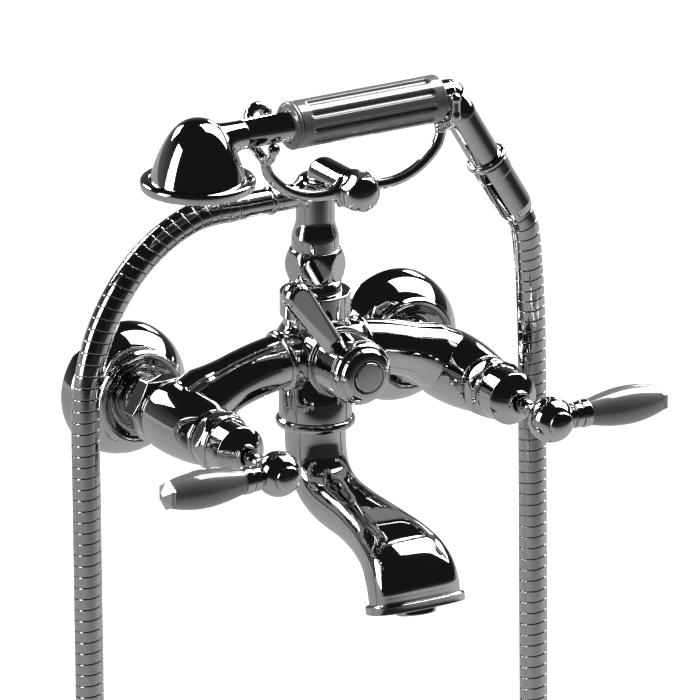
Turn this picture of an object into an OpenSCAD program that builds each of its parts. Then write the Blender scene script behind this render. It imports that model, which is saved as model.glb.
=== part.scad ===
// Wall-mounted bath and shower mixer: two lever valves, a diverter, a bath spout,
// and a hand shower that rests on a cradle and hangs on a metal hose.
// Lengths are in millimetres. X runs right along the wall, -Y out into the room, Z up.
// The origin is midway between the two inlets, on the wall.

/* [Wall connection] */
// distance between the two inlets
inlet_spacing = 150; // [148:1:154]
// radius of the wall flange at the wall
flange_r = 32.5; // [31.5:0.5:34]
// distance from the wall to the bead of the flange
flange_depth = 19.6; // [19:0.2:20.4]
// length of the threaded stub in the wall
stub_len = 14; // [12:1:20]
// width across the flats of the union nut
nut_flats = 30; // [29:0.5:31]

/* [Valve barrels] */
// largest radius of the valve barrel
barrel_r = 17.4; // [17:0.1:18]
// distance from the wall to the front of the barrel
barrel_front = 88; // [87:0.5:90]
// width across the flats of the headwork
headwork_flats = 28; // [27.5:0.5:29]
// length of the domed cover in front of the headwork
bonnet_len = 18; // [17:0.5:20]
// radius of that cover
bonnet_r = 12.8; // [12.4:0.1:13]

/* [Lever handles] */
// distance from the wall to the centre of the handle ball
handle_dist = 146.5; // [145.5:0.5:149]
// radius of the handle ball
ball_r = 11; // [10.6:0.1:11.4]
// reach of the lever from the ball centre
lever_reach = 64; // [62:0.5:67]
// largest radius of the lever grip
grip_r = 9.3; // [8.6:0.1:9.6]
// width across the flats of the lever tip
tip_flats = 12; // [11.5:0.5:13]

/* [Centre body] */
// height of the diverter axis above the inlets
centre_h = 21.8; // [21:0.2:22.6]
// radius of the round arms
arm_r = 13; // [12.5:0.25:13.5]
// radius of the centre ball
centre_r = 20.5; // [20:0.5:21.5]
// radius of the neck above the spout
neck_r = 17.5; // [17.2:0.1:18]

/* [Diverter] */
// radius of the front boss
boss_r = 17; // [16.6:0.1:17.4]
// radius of the diverter knob
knob_r = 15.8; // [15.4:0.1:16.2]
// reach of the diverter lever from its axis
diverter_reach = 47; // [44:1:49]
// lean of the diverter lever to the left of upright
diverter_lean = 37; // [32:1:40]

/* [Spout] */
// half width of the spout mouth
mouth_half = 25; // [24:0.5:26]
// half thickness of the spout mouth
mouth_thick = 12.6; // [12.4:0.2:13]
// radius of the aerator
aerator_r = 9.6; // [9.2:0.1:9.8]

/* [Cradle] */
// radius of the collar under the column nut
collar_r = 17; // [16.5:0.1:17.5]
// radius of the column nut over its corners
nut_ball_r = 14.4; // [14.2:0.1:14.8]
// radius of the column above its nut
column_r = 9.3; // [9.1:0.1:9.6]
// radius of the hub that carries the bow
hub_r = 8.1; // [7.9:0.1:8.4]
// radius of the bow's eye and of the cap nut in front of it
eye_r = 9.4; // [9.2:0.1:9.8]
// radius of the bow's rod
bow_r = 2.7; // [2.6:0.1:2.8]

/* [Hand shower] */
// radius of the handset tube
tube_r = 7; // [6.8:0.1:7.2]
// radius of the fluted grip
handset_grip_r = 11.4; // [11.2:0.1:11.8]
// number of flutes round the grip
flute_count = 10; // [8:1:12]
// outer radius of the rose
rose_r = 27.4; // [26.5:0.1:28]
// radius of the hose over its ribs
hose_r = 6.8; // [6.6:0.1:7.1]

/* [Hidden] */
$fn = 96;

// clearances: a running fit, a screwed or pushed fit, and an open gap
run_fit = 0.06;
push_fit = 0.03;
gap = 0.35;
cast_gap = 0.3;
// how far the stretches of a bent bar run into each other, and the step between their radii
lap = 0.4;
weld = 0.12;

// colours
chrome = [0.78, 0.79, 0.80];
bright = [0.66, 0.67, 0.69];
brass = [0.72, 0.58, 0.30];
satin = [0.33, 0.33, 0.34];
rubber = [0.10, 0.10, 0.11];
ceramic = [0.90, 0.89, 0.86];

// wall connection
half_spacing = inlet_spacing / 2;
stub_r = 10.48;
union_r = 13.2;
water_r = 7.5;
washer_h = 1.5;
tail_collar_r = union_r - 0.3;
tail_r = 10.5;
dome_depth = 27;
flange_wall = 1.6;

// distance from the wall to the middle of the arms; the back of the barrels and the union nuts follow it
arm_d = 58;
egg_wide = arm_d - 2;
egg_start = arm_d - 15.6;
nut_len = 10;
nut_end = egg_start - 0.4;
nut_start = nut_end - nut_len;
union_end = nut_start + 4;
tail_start = union_end + washer_h;
tail_collar_end = tail_start + 2;

// valve barrels, as distances from the wall
barrel_arc = 152;
back_arc = 9;
bore_r = 10.1;
bore_end = barrel_front - 26;
disc_h = 2.1;
hex_len = 13;
hex_mid = 6;
hex_crown = 15.5;
hex_end = barrel_front + hex_len;
bonnet_end = hex_end + bonnet_len;
spindle_r = 3.95;
headwork_neck = 9;
dome_back = 7;
cover_collar_r = 5.6;
handle_neck = handle_dist - ball_r - 1.2;
cap_seat = handle_dist + 8.7;
screw_r = 2;
cap_plug_r = 4.4;
lever_pin_r = 3;
lever_pin_start = 6;
lever_rod_r = 2.4;
grip_start = 20;
tip_straight = 2.4;
grip_end = lever_reach - 5.2;

// centre body
body_d = 55;
arm_drop = 19.5;
arch_r = (half_spacing * half_spacing + arm_drop * arm_drop) / (2 * arm_drop);
arch_half = asin(half_spacing / arch_r);
collar_z = centre_h + 17.4;
collar_top = collar_z + 12.1;
spigot_r = 11;
neck_bottom = -11.1;
socket_r = 13;
socket_h = 14;
boss_front = 85;
knob_front = 103;
diverter_d = 94;
diverter_pin_r = 3.4;
diverter_pin_start = 9;
diverter_cap_r = 7.6;
plug_r = 7.6;
sleeve_r = 11;
sleeve_start = body_d - 7;

// column
nut_z = collar_top + 13.1;
nut_half = 7.8;
stem_z = nut_z + nut_half;
thread_r = 8;
thread_h = 8;
collar_thread_r = 10;
hub_z = 111.4;
bow_d = 90;
stud_r = 4;
eye_h = 2 * bow_r + 0.2;
hub_end = bow_d - eye_h / 2;
cap_start = bow_d + eye_h / 2;
stud_end = bow_d + 10;
outlet_z = 100;
outlet_r = 3.8;
outlet_bore = 2.6;
outlet_shoulder = 11.3;
outlet_end = 20;
hose_washer_h = 2;
fork_x = 48;
bow_big = 36;
bow_small = 14;
bow_turn = 50;
bow_flat = fork_x - bow_big * sin(bow_turn) - bow_small * (1 - sin(bow_turn));
bow_rise = bow_big * (1 - cos(bow_turn)) + bow_small * cos(bow_turn);

// hand shower
axis_z = 148.8;
rose_x = -85;
rose_z = 129.2;
lip_r = 3;
bell_wall = 2;
tube_wall = 1.6;
plate_edge = 1.4;
neck_end = 26;
grip_x0 = -36;
grip_x1 = 45.6;
elbow_x = 52.4;
elbow_r = 8;
elbow_bore = 4.4;
nipple_r = 6;
nipple_len = 10;
bend_r = 10;
bend_turn = 59;
leg_start = bend_r * tan(bend_turn / 2);
leg_end = 39;
ferrule_len = 35;

// points along the middle of the hose, from the column to the hand shower
HOSE = [
    [-44, -55, 100], [-57.5, -55, 100], [-69.5, -55, 97.8], [-84.5, -55, 90.6], [-97.5, -55, 80.4],
    [-107.3, -55, 69], [-114.7, -55, 57], [-120.4, -55, 43.8], [-124.2, -55, 28.8], [-126, -55, 12],
    [-126, -55, -8],
    [-125.5, -55, -40], [-125, -55, -85], [-124.5, -55, -130], [-125, -55, -180], [-126, -56, -230],
    [-127, -57, -280], [-126, -58, -330], [-122, -60, -380], [-112, -62, -425], [-94, -65, -463],
    [-68, -68, -490], [-34, -72, -504], [0, -75, -505], [34, -78, -493], [62, -81, -469],
    [83, -83, -435], [96, -84, -393], [102, -85, -345], [104, -85, -290], [104, -85, -230],
    [103.5, -85, -170], [103, -85, -110], [102.5, -85, -50], [102.5, -85, 0], [102.5, -86, 30],
    [101.5, -88, 52], [97.9, -90, 73.1], [90.85, -90, 84.8]];
HOSE_RIBS = 196;
HOSE_SIDES = 8;
HOSE_WALL = 2.4;

// points along the middle of the spout, as reach from the axis of the body and height
SPOUT = [
    [0, -13.1], [0, -24], [2.5, -34.5], [9, -42.8], [19, -47.4], [32, -49.4], [45, -50.4],
    [58, -52], [70, -54.4], [80, -58.8], [86.5, -65.8], [90, -73.4], [92, -80]];
SPOUT_SIDES = 40;
SPOUT_STEPS = 2;
spout_top = SPOUT[0][1];
spout_neck_r = 14.6;
spout_pipe_r = 9.6;
spout_pipe_len = 8;
aerator_in = 4.5;
mouth_turn = 13.9;

// places a shape with its z axis pointing out of the wall
module front(x, z) {
    translate([x, 0, z]) rotate([90, 0, 0]) children();
}

// turns an outline of [radius, height] points about the z axis
module turned(outline) {
    rotate_extrude() polygon(outline);
}

// points on an arc of a circle
function arc(cx, cy, r, a0, a1, n) =
    [for (i = [0 : n]) let (a = a0 + (a1 - a0) * i / n) [cx + r * cos(a), cy + r * sin(a)]];

// a hexagonal bar with its flats facing along x
module hex_bar(flats, h) {
    rotate([0, 0, 30]) cylinder(r = flats / 2 / cos(30), h = h, $fn = 6);
}

// a rod between two points
module rod(a, b, r) {
    v = b - a;
    l = norm(v);
    translate(a) rotate([0, acos(v[2] / l), atan2(v[1], v[0])]) cylinder(r = r, h = l);
}

// one point of a smooth curve through p, at place i plus t
function curve(p, i, t) =
    let (
        a = p[max(i - 1, 0)],
        b = p[i],
        c = p[min(i + 1, len(p) - 1)],
        d = p[min(i + 2, len(p) - 1)])
    0.5 * (2 * b + (c - a) * t + (2 * a - 5 * b + 4 * c - d) * t * t + (3 * b - a - 3 * c + d) * t * t * t);

// many points of that curve
function smooth(p, n) =
    concat([for (i = [0 : len(p) - 2]) for (k = [0 : n - 1]) curve(p, i, k / n)], [p[len(p) - 1]]);

// running length at each point of a line
function running(p) =
    [for (i = 0, s = 0; i < len(p); s = s + (i + 1 < len(p) ? norm(p[i + 1] - p[i]) : 0), i = i + 1) s];

// direction of a line at point i
function heading(p, i) =
    let (v = p[min(i + 1, len(p) - 1)] - p[max(i - 1, 0)]) v / norm(v);

// triangles that join ring j to the next ring of n points
function band(j, n, out) =
    [for (k = [0 : n - 1]) let (a = j * n + k, b = j * n + (k + 1) % n)
        each out ? [[a, a + n, b], [b, a + n, b + n]] : [[a, b, a + n], [b, b + n, a + n]]];

// triangles that join one ring to another ring, given by their first points
function cap(a0, b0, n, out) =
    [for (k = [0 : n - 1]) let (a = a0 + k, a1 = a0 + (k + 1) % n, b = b0 + k, b1 = b0 + (k + 1) % n)
        each out ? [[a, b, a1], [a1, b, b1]] : [[a, a1, b], [a1, b1, b]]];

// a tube from rings of points: outer rings first, then the same number or fewer inner rings
module ring_tube(outer, inner) {
    n = len(outer[0]);
    m = len(outer);
    q = len(inner);
    pts = concat([for (r = outer) each r], [for (r = inner) each r]);
    faces = concat(
        [for (j = [0 : m - 2]) each band(j, n, true)],
        [for (j = [0 : q - 2]) each band(m + j, n, false)],
        cap(0, m * n, n, false),
        cap((m - 1) * n, (m + q - 1) * n, n, true));
    polyhedron(pts, faces, convexity = 10);
}

// wall connection

module wall_union(x) {
    color(brass) front(x, 0) turned([
        [water_r, -stub_len], [stub_r - 1, -stub_len], [stub_r, 1 - stub_len], [stub_r, 0],
        [union_r, 0], [union_r, union_end - 1], [union_r - 1, union_end], [water_r, union_end]]);
}

module wall_flange(x) {
    rim_d = flange_depth - 0.4;
    rim_r = flange_r * sqrt(1 - pow(rim_d / dome_depth, 2));
    bead_r = rim_r - 1.6;
    back_d = flange_depth - 6.2;
    hole_r = union_r + push_fit;
    outside = [for (i = [0 : 14]) let (d = rim_d * i / 14) [flange_r * sqrt(1 - pow(d / dome_depth, 2)), d]];
    inside = [for (i = [14 : -1 : 0]) let (d = back_d * i / 14)
        [(flange_r - flange_wall) * sqrt(1 - pow(d / (dome_depth - flange_wall), 2)), d]];
    dish = [for (i = [0 : 6]) let (t = i / 6)
        [bead_r - 1.7 + (hole_r + 1 - bead_r + 1.7) * t, flange_depth - 3.4 * sin(90 * t)]];
    color(chrome) front(x, 0) turned(concat(
        outside, arc(bead_r, flange_depth, 1.7, 0, 172, 12), dish,
        [[hole_r, flange_depth - 3.4], [hole_r, back_d]], inside));
}

module union_nut(x, turn) {
    h = nut_len;
    corner = nut_flats / 2 / cos(30) + lap;
    flat = nut_flats / 2 - 0.3;
    color(chrome) front(x, 0) translate([0, 0, nut_start]) difference() {
        intersection() {
            rotate([0, 0, turn]) hex_bar(nut_flats, h);
            rotate([0, 0, turn + 20])
                turned([[0, 0], [flat, 0], [corner, 1.5], [corner, h - 1.5], [flat, h], [0, h]]);
        }
        translate([0, 0, -1]) cylinder(r = union_r + push_fit, h = tail_collar_end - nut_start + 1);
        cylinder(r = tail_r + 0.2, h = h + 1);
    }
}

module inlet_washer(x) {
    color(rubber) front(x, 0) translate([0, 0, union_end]) difference() {
        cylinder(r = tail_collar_r, h = washer_h);
        translate([0, 0, -1]) cylinder(r = water_r, h = washer_h + 2);
    }
}

// body

// the barrel: a long arc that swells and tapers, with a rounded back edge and a collared tail
module barrel_solid(x) {
    front(x, 0) {
        rotate_extrude() difference() {
            intersection() {
                translate([barrel_r - barrel_arc, egg_wide]) circle(r = barrel_arc, $fn = 400);
                translate([0, egg_start]) square([40, barrel_front - egg_start]);
            }
            difference() {
                translate([barrel_r - back_arc - 0.1, egg_start - 1]) square([40, back_arc + 1]);
                translate([barrel_r - back_arc - 0.1, egg_start + back_arc]) circle(r = back_arc);
            }
        }
        turned([
            [0, tail_start], [tail_collar_r, tail_start], [tail_collar_r, tail_collar_end],
            [tail_r, tail_collar_end], [tail_r, egg_start + 2], [0, egg_start + 2]]);
    }
}

// a ring of the arch that carries both arms, with bar radius r at distance d from the wall
module arch(r, d, half) {
    front(0, 0) translate([0, centre_h - arch_r, d]) rotate([0, 0, 90 - half])
        rotate_extrude(angle = 2 * half) translate([arch_r, 0]) circle(r = r);
}

// a bead round the root of an arm
module arm_bead(s) {
    front(0, 0) translate([0, centre_h - arch_r, arm_d]) rotate([0, 0, 90 - s * 7.6])
        translate([arch_r, 0, 0]) rotate([90, 0, 0])
            rotate_extrude() translate([arm_r - 0.2, 0]) circle(r = 2);
}

module mixer_body() {
    color(chrome) difference() {
        union() {
            barrel_solid(-half_spacing);
            barrel_solid(half_spacing);
            arch(arm_r, arm_d, arch_half);
            arm_bead(-1);
            arm_bead(1);
            translate([0, -body_d, centre_h]) sphere(r = centre_r);
            front(0, centre_h) turned([
                [0, body_d], [boss_r - 1, body_d], [boss_r, body_d + 3], [boss_r, boss_front - 1.2],
                [boss_r - 1.2, boss_front], [0, boss_front]]);
            translate([0, -body_d, 0]) turned([
                [0, neck_bottom], [neck_r - 0.8, neck_bottom], [neck_r, neck_bottom + 0.8],
                [neck_r, centre_h],
                [15.5, centre_h], [15.5, collar_z], [spigot_r, collar_z], [spigot_r, collar_z + 7],
                [0, collar_z + 7]]);
        }
        for (s = [-1, 1]) front(s * half_spacing, 0) {
            translate([0, 0, bore_end]) cylinder(r = bore_r, h = 40);
            translate([0, 0, tail_start - 1]) cylinder(r = water_r, h = bore_end - tail_start + 2);
        }
        arch(4.2, bore_end + 3.2, arch_half);
        front(0, centre_h) translate([0, 0, sleeve_start]) cylinder(r = sleeve_r + push_fit, h = 60);
        translate([0, -body_d, neck_bottom - 1]) cylinder(r = socket_r, h = socket_h + 1);
        translate([0, -body_d, neck_bottom]) cylinder(r = water_r, h = 80);
    }
}

// valves

// hexagon with crowned flats: its corners are turned down to a round crown, with a cove to the cover
module headwork(x, turn) {
    lens = 3.6;
    fall = 1.6;
    shank = bore_end + 2 * disc_h + 1;
    crown = [for (i = [-6 : 6]) let (t = i / 6) [hex_crown - fall * t * t, hex_mid + lens * t]];
    color(chrome) front(x, 0) difference() {
        union() {
            translate([0, 0, barrel_front]) intersection() {
                rotate([0, 0, turn]) hex_bar(headwork_flats, hex_len);
                turned(concat(
                    [[0, 0], [bonnet_r + 0.6, 0]], crown, [[bonnet_r + 0.1, hex_len], [0, hex_len]]));
            }
            translate([0, 0, shank]) cylinder(r = bore_r - push_fit, h = barrel_front - shank + lap);
            translate([0, 0, hex_end - lap]) cylinder(r = headwork_neck, h = bonnet_len - dome_back - gap);
        }
        translate([0, 0, shank - lap]) cylinder(r = spindle_r + run_fit, h = bonnet_end - shank);
    }
}

// straight cover with a domed front and a small collar round the spindle
module bonnet(x) {
    dome_h = 6;
    rim_d = bonnet_end - dome_back;
    neck = headwork_neck + push_fit;
    hole = spindle_r + gap;
    dome = [for (i = [0 : 10]) let (r = bonnet_r - (bonnet_r - cover_collar_r) * i / 10)
        [r, rim_d + dome_h * (1 - pow(r / bonnet_r, 2.2))]];
    color(chrome) front(x, 0) turned(concat(
        [[neck, hex_end], [bonnet_r - 0.5, hex_end], [bonnet_r - 0.5, hex_end + 0.6],
         [bonnet_r, hex_end + 0.9]],
        dome, [[cover_collar_r, bonnet_end - 0.5], [cover_collar_r - 0.5, bonnet_end],
         [hole, bonnet_end], [hole, rim_d], [neck, rim_d]]));
}

module fixed_disc(x) {
    color(ceramic) front(x, 0) translate([0, 0, bore_end]) difference() {
        cylinder(r = bore_r - push_fit, h = disc_h);
        for (s = [-1, 1]) translate([s * 4.6, 0, -1]) cylinder(r = 2.6, h = disc_h + 2);
    }
}

module spindle(x) {
    start = bore_end + 2 * disc_h + 0.3;
    end = handle_dist - 5;
    color(brass) front(x, 0) difference() {
        translate([0, 0, start]) cylinder(r = spindle_r, h = end - start);
        translate([0, 0, end - 12]) cylinder(r = screw_r, h = 20);
    }
}

module turning_disc(x) {
    color(ceramic) front(x, 0) translate([0, 0, bore_end + disc_h + 0.3]) difference() {
        cylinder(r = bore_r - gap, h = disc_h);
        translate([0, 4.8, -1]) cylinder(r = 2.6, h = disc_h + 2);
    }
}

// lever handles: s is -1 for the left handle and 1 for the right one

// places a shape at the ball centre, with z along the lever
module lever(s) {
    translate([s * half_spacing, -handle_dist, 0]) rotate([0, 90 * s, 0]) children();
}

module handle_ball(s) {
    color(chrome) difference() {
        union() {
            front(s * half_spacing, 0) translate([0, 0, handle_dist]) sphere(r = ball_r);
            front(s * half_spacing, 0) turned(concat(
                [[0, handle_neck]], arc(4.9, handle_neck + 0.6, 0.6, -90, 0, 4),
                [[5.5, handle_neck + 4], [0, handle_neck + 4]]));
        }
        front(s * half_spacing, 0) {
            translate([0, 0, handle_neck - 1])
                cylinder(r = spindle_r + push_fit, h = handle_dist - 5 - handle_neck + 1);
            translate([0, 0, handle_dist - 6]) cylinder(r = screw_r + 0.2, h = 20);
            translate([0, 0, handle_dist + 2]) cylinder(r = cap_plug_r, h = 20);
            translate([0, 0, cap_seat]) cylinder(r = ball_r, h = ball_r);
        }
        lever(s) translate([0, 0, lever_pin_start]) cylinder(r = lever_pin_r + push_fit, h = 20);
    }
}

module handle_screw(x) {
    color(bright) front(x, 0) {
        translate([0, 0, handle_dist - 13]) cylinder(r = screw_r - push_fit, h = 15);
        translate([0, 0, handle_dist + 2]) cylinder(r = cap_plug_r - 0.6, h = 2.8);
    }
}

module handle_cap(x) {
    plug = cap_plug_r - push_fit;
    rim = 6.4;
    edge = 0.5;
    dome = 3;
    color(chrome) front(x, 0) turned(concat(
        [[0, handle_dist + 5], [plug, handle_dist + 5], [plug, cap_seat], [rim, cap_seat]],
        [for (i = [0 : 8]) [rim * cos(90 * i / 8), cap_seat + edge + dome * sin(90 * i / 8)]]));
}

// two rings between the ball and the grip, and the rod that the grip sits on
module lever_stem(s) {
    neck = 4.6;
    small = 6.2;
    large = 6.7;
    groove = 0.5;
    mid = grip_start - 4.6;
    first = ball_r + 0.6;
    color(chrome) lever(s) union() {
        difference() {
            turned(concat(
                [[0, ball_r - 2], [neck, ball_r - 2], [neck, first]],
                arc(small - 0.6, first + 0.6, 0.6, -90, 0, 4), [[small, mid - groove], [small - 0.8, mid]],
                arc(large - 0.6, mid + groove + 0.6, 0.6, -90, 0, 4),
                arc(large - 0.6, grip_start - 0.6, 0.6, 0, 90, 4),
                [[lever_rod_r, grip_start], [lever_rod_r, grip_end + 2], [0, grip_end + 2]]));
            sphere(r = ball_r + push_fit);
        }
        translate([0, 0, lever_pin_start]) cylinder(r = lever_pin_r, h = ball_r + 1 - lever_pin_start);
    }
}

module lever_grip(s) {
    l = grip_end - grip_start;
    wide = 0.55;
    root = 6.2;
    end_drop = 2.8;
    swell = [for (i = [0 : 12]) let (t = i / 12)
        [root + (grip_r - root) * sin(90 * t), grip_start + l * wide * t]];
    close = [for (i = [1 : 10]) let (t = i / 10)
        [grip_r - end_drop * t * t, grip_start + l * (wide + (1 - wide) * t)]];
    color(satin) lever(s) turned(concat(
        [[lever_rod_r + push_fit, grip_start]], swell, close, [[lever_rod_r + push_fit, grip_end]]));
}

module lever_tip(s) {
    corner = tip_flats / 2 / cos(30);
    color(chrome) lever(s) difference() {
        translate([0, 0, grip_end]) union() {
            cylinder(r = corner, h = tip_straight, $fn = 6);
            translate([0, 0, tip_straight])
                cylinder(r1 = corner, r2 = corner * 0.14, h = lever_reach - grip_end - tip_straight, $fn = 6);
        }
        cylinder(r = lever_rod_r + push_fit, h = grip_end + 2);
    }
}

// diverter

module diverter_sleeve() {
    color(brass) front(0, centre_h) difference() {
        translate([0, 0, sleeve_start]) cylinder(r = sleeve_r, h = boss_front - sleeve_start);
        translate([0, 0, sleeve_start - 1]) cylinder(r = spindle_r + run_fit, h = 60);
        translate([0, 0, sleeve_start - 1]) cylinder(r = plug_r + gap, h = 16);
        rotate([90, 0, 0]) translate([0, body_d, -20]) cylinder(r = 5, h = 40);
    }
}

module diverter_spindle() {
    color(brass) front(0, centre_h) {
        translate([0, 0, sleeve_start + 1]) cylinder(r = spindle_r, h = knob_front - 5 - sleeve_start - 1);
        translate([0, 0, sleeve_start + 1]) cylinder(r = plug_r, h = 13);
    }
}

// places a shape on the diverter axis, with z along its lever
module diverter_arm() {
    translate([0, -diverter_d, centre_h]) rotate([0, -diverter_lean, 0]) children();
}

module diverter_knob() {
    start = boss_front + gap;
    color(chrome) difference() {
        front(0, centre_h) turned(concat(
            [[0, start], [knob_r - 0.8, start], [knob_r, start + 0.8], [knob_r, knob_front - 6]],
            [for (i = [1 : 8]) let (a = 90 * i / 8)
                [knob_r - 3.4 * (1 - cos(a)), knob_front - 6 + 4.6 * sin(a)]],
            [[10.6, knob_front - 1.4], [10, knob_front], [0, knob_front]]));
        front(0, centre_h) {
            cylinder(r = spindle_r + push_fit, h = knob_front - 5);
            translate([0, 0, knob_front - 2.4]) cylinder(r = diverter_cap_r + push_fit, h = 10);
        }
        diverter_arm() translate([0, 0, diverter_pin_start]) cylinder(r = diverter_pin_r + push_fit, h = 20);
    }
}

module diverter_lever() {
    top = 6.9;
    foot = knob_r + push_fit;
    flat_y = -5.2;
    color(chrome) diverter_arm() union() {
        translate([0, 0, diverter_pin_start]) cylinder(r = diverter_pin_r, h = foot + 1 - diverter_pin_start);
        intersection() {
            turned(concat(
                [[0, foot], [4.6, foot]], arc(0, diverter_reach - top, top, -6, 90, 12)));
            translate([-10, flat_y, 0]) cube([20, 20, 60]);
        }
    }
}

module diverter_cap() {
    color(chrome) front(0, centre_h) turned(concat(
        [[0, knob_front - 2.4], [diverter_cap_r, knob_front - 2.4]],
        [for (i = [0 : 6]) let (a = 90 * i / 6)
            [diverter_cap_r - 1.2 * (1 - cos(a)), knob_front + 1.4 * sin(a)]],
        [[0, knob_front + 1.6]]));
}

// spout

// the middle line of the spout, and its half width, half thickness and squareness along it
spout_line = smooth(SPOUT, SPOUT_STEPS);
spout_run = running(spout_line);
spout_total = spout_run[len(spout_run) - 1];
function spout_wide(t) = lookup(t, [
    [0, spout_neck_r], [0.28, spout_neck_r - 0.4], [0.46, spout_neck_r], [0.6, mouth_half - 8.6],
    [0.75, mouth_half - 5.4], [0.88, mouth_half - 2.8], [0.94, mouth_half - 2.2], [0.965, mouth_half],
    [1, mouth_half]]);
function spout_deep(t) = lookup(t, [
    [0, spout_neck_r], [0.1, spout_neck_r], [0.22, 13.6], [0.38, 11.6], [0.6, 10.4], [0.8, 10.8],
    [0.94, mouth_thick - 1.8], [0.965, mouth_thick], [1, mouth_thick]]);
function spout_square(t) = lookup(t, [[0, 2], [0.2, 2.05], [0.5, 2.6], [1, 2.9]]);
// radius of the water way at running length s: wide at the tail pipe and at the aerator
function spout_bore(s) =
    let (pipe = spout_pipe_r + cast_gap, screen = (aerator_r + cast_gap) / cos(180 / SPOUT_SIDES))
    lookup(s, [
        [0, pipe], [spout_pipe_len + 4, pipe], [spout_pipe_len + 14, water_r],
        [spout_total - aerator_in - 14, water_r],
        [spout_total - aerator_in - 4, screen], [spout_total, screen]]);

// one ring of the spout at point i, with half width a and half thickness b
function spout_ring_at(i, a, b, e) =
    let (
        p = spout_line[i],
        last = [sin(mouth_turn), -cos(mouth_turn)],
        h = i == len(spout_line) - 1 ? last : i == 0 ? [0, -1] : heading(spout_line, i))
    [for (k = [0 : SPOUT_SIDES - 1])
        let (
            w = 360 * k / SPOUT_SIDES,
            u = a * sign(cos(w)) * pow(abs(cos(w)), 2 / e),
            v = b * sign(sin(w)) * pow(abs(sin(w)), 2 / e))
        [u, v * h[1] - p[0] - body_d, p[1] + v * h[0]]];

module spout() {
    n = len(spout_line);
    outer = [for (i = [0 : n - 1]) let (t = spout_run[i] / spout_total)
        spout_ring_at(i, spout_wide(t), spout_deep(t), spout_square(t))];
    inner = [for (i = [0 : n - 1]) let (r = spout_bore(spout_run[i])) spout_ring_at(i, r, r, 2)];
    color(chrome) ring_tube(outer, inner);
}

module spout_tail() {
    top = neck_bottom + socket_h - 1;
    low = spout_top - spout_pipe_len;
    color(brass) translate([0, -body_d, 0]) turned([
        [6.5, low], [spout_pipe_r, low], [spout_pipe_r, spout_top], [socket_r - push_fit, spout_top],
        [socket_r - push_fit, top], [6.5, top]]);
}

module spout_ring() {
    hole_r = spout_neck_r + cast_gap;
    color(chrome) translate([0, -body_d, 0]) difference() {
        rotate_extrude() translate([hole_r + 1.8, spout_top - 0.2]) circle(r = 2.4);
        translate([0, 0, neck_bottom]) cylinder(r = 40, h = 10);
        translate([0, 0, -60]) cylinder(r = hole_r, h = 60);
    }
}

// the aerator stands in the mouth of the spout, square to it
module mouth() {
    p = SPOUT[len(SPOUT) - 1];
    translate([0, -p[0] - body_d, p[1]]) rotate([-mouth_turn, 0, 0]) rotate([180, 0, 0]) children();
}

module aerator_shell() {
    color(chrome) mouth() difference() {
        turned([[0, -aerator_in], [aerator_r, -aerator_in], [aerator_r, 2.2], [aerator_r - 0.8, 3], [0, 3]]);
        translate([0, 0, -aerator_in - 1]) cylinder(r = aerator_r - 1.4, h = 20);
    }
}

module aerator_insert() {
    color(satin) mouth() difference() {
        translate([0, 0, 1 - aerator_in]) cylinder(r = aerator_r - 1.4 - push_fit, h = aerator_in + 1);
        for (a = [0 : 60 : 300]) rotate([0, 0, a]) translate([4.6, 0, -aerator_in]) cylinder(r = 1.5, h = 12);
        translate([0, 0, -aerator_in]) cylinder(r = 1.5, h = 12);
    }
}

// column and cradle

module outlet_collar() {
    color(chrome) translate([0, -body_d, 0]) difference() {
        turned([
            [0, collar_z], [collar_r - 0.8, collar_z], [collar_r, collar_z + 0.8],
            [collar_r, collar_top - 0.8],
            [collar_r - 0.8, collar_top], [12.4, collar_top], [12.4, nut_z - nut_half],
            [collar_thread_r, nut_z - nut_half], [collar_thread_r, nut_z - 1], [0, nut_z - 1]]);
        translate([0, 0, collar_z - 1]) cylinder(r = spigot_r + push_fit, h = 8);
        translate([0, 0, collar_z]) cylinder(r = 6, h = 60);
    }
}

module column_nut() {
    flats = 2 * sqrt(nut_ball_r * nut_ball_r - 46);
    color(chrome) translate([0, -body_d, nut_z]) difference() {
        union() {
            intersection() {
                sphere(r = nut_ball_r);
                translate([0, 0, -nut_half]) hex_bar(flats, 2 * nut_half);
            }
            translate([0, 0, nut_half - 1]) cylinder(r = thread_r, h = thread_h);
        }
        translate([0, 0, -nut_half - 1]) cylinder(r = collar_thread_r + push_fit, h = nut_half);
        translate([0, 0, -nut_half]) cylinder(r = 5, h = 2 * nut_half + thread_h);
    }
}

module cradle_stem() {
    foot = 11.4;
    dome = 5;
    round_r = 2;
    hub_start = body_d + 2;
    skirt = [for (i = [0 : 8])
        [foot - (foot - column_r) * (1 - cos(180 * i / 8)) / 2, stem_z + 5 + 10 * i / 8]];
    color(chrome) difference() {
        union() {
            translate([0, -body_d, 0]) turned(concat(
                [[0, stem_z], [foot - 0.2, stem_z], [foot, stem_z + 0.6]], skirt,
                arc(column_r - dome, hub_z - dome - 2, dome, 0, 90, 8), [[0, hub_z - 2]]));
            front(0, hub_z) turned(concat(
                [[0, hub_start]], arc(hub_r - round_r, hub_start + round_r, round_r, -90, 0, 6),
                [[hub_r, hub_end], [stud_r, hub_end], [stud_r, stud_end], [0, stud_end]]));
            outlet() turned([
                [0, 0], [7.4, 0], [7.4, column_r - 1], [5.7, outlet_shoulder - 0.6], [5.7, outlet_shoulder],
                [outlet_r, outlet_shoulder], [outlet_r, outlet_end], [0, outlet_end]]);
        }
        translate([0, -body_d, stem_z - 1]) cylinder(r = thread_r + push_fit, h = thread_h + 0.2);
        translate([0, -body_d, stem_z]) cylinder(r = 4.5, h = outlet_z - stem_z);
        outlet() cylinder(r = outlet_bore, h = 40);
    }
}

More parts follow.
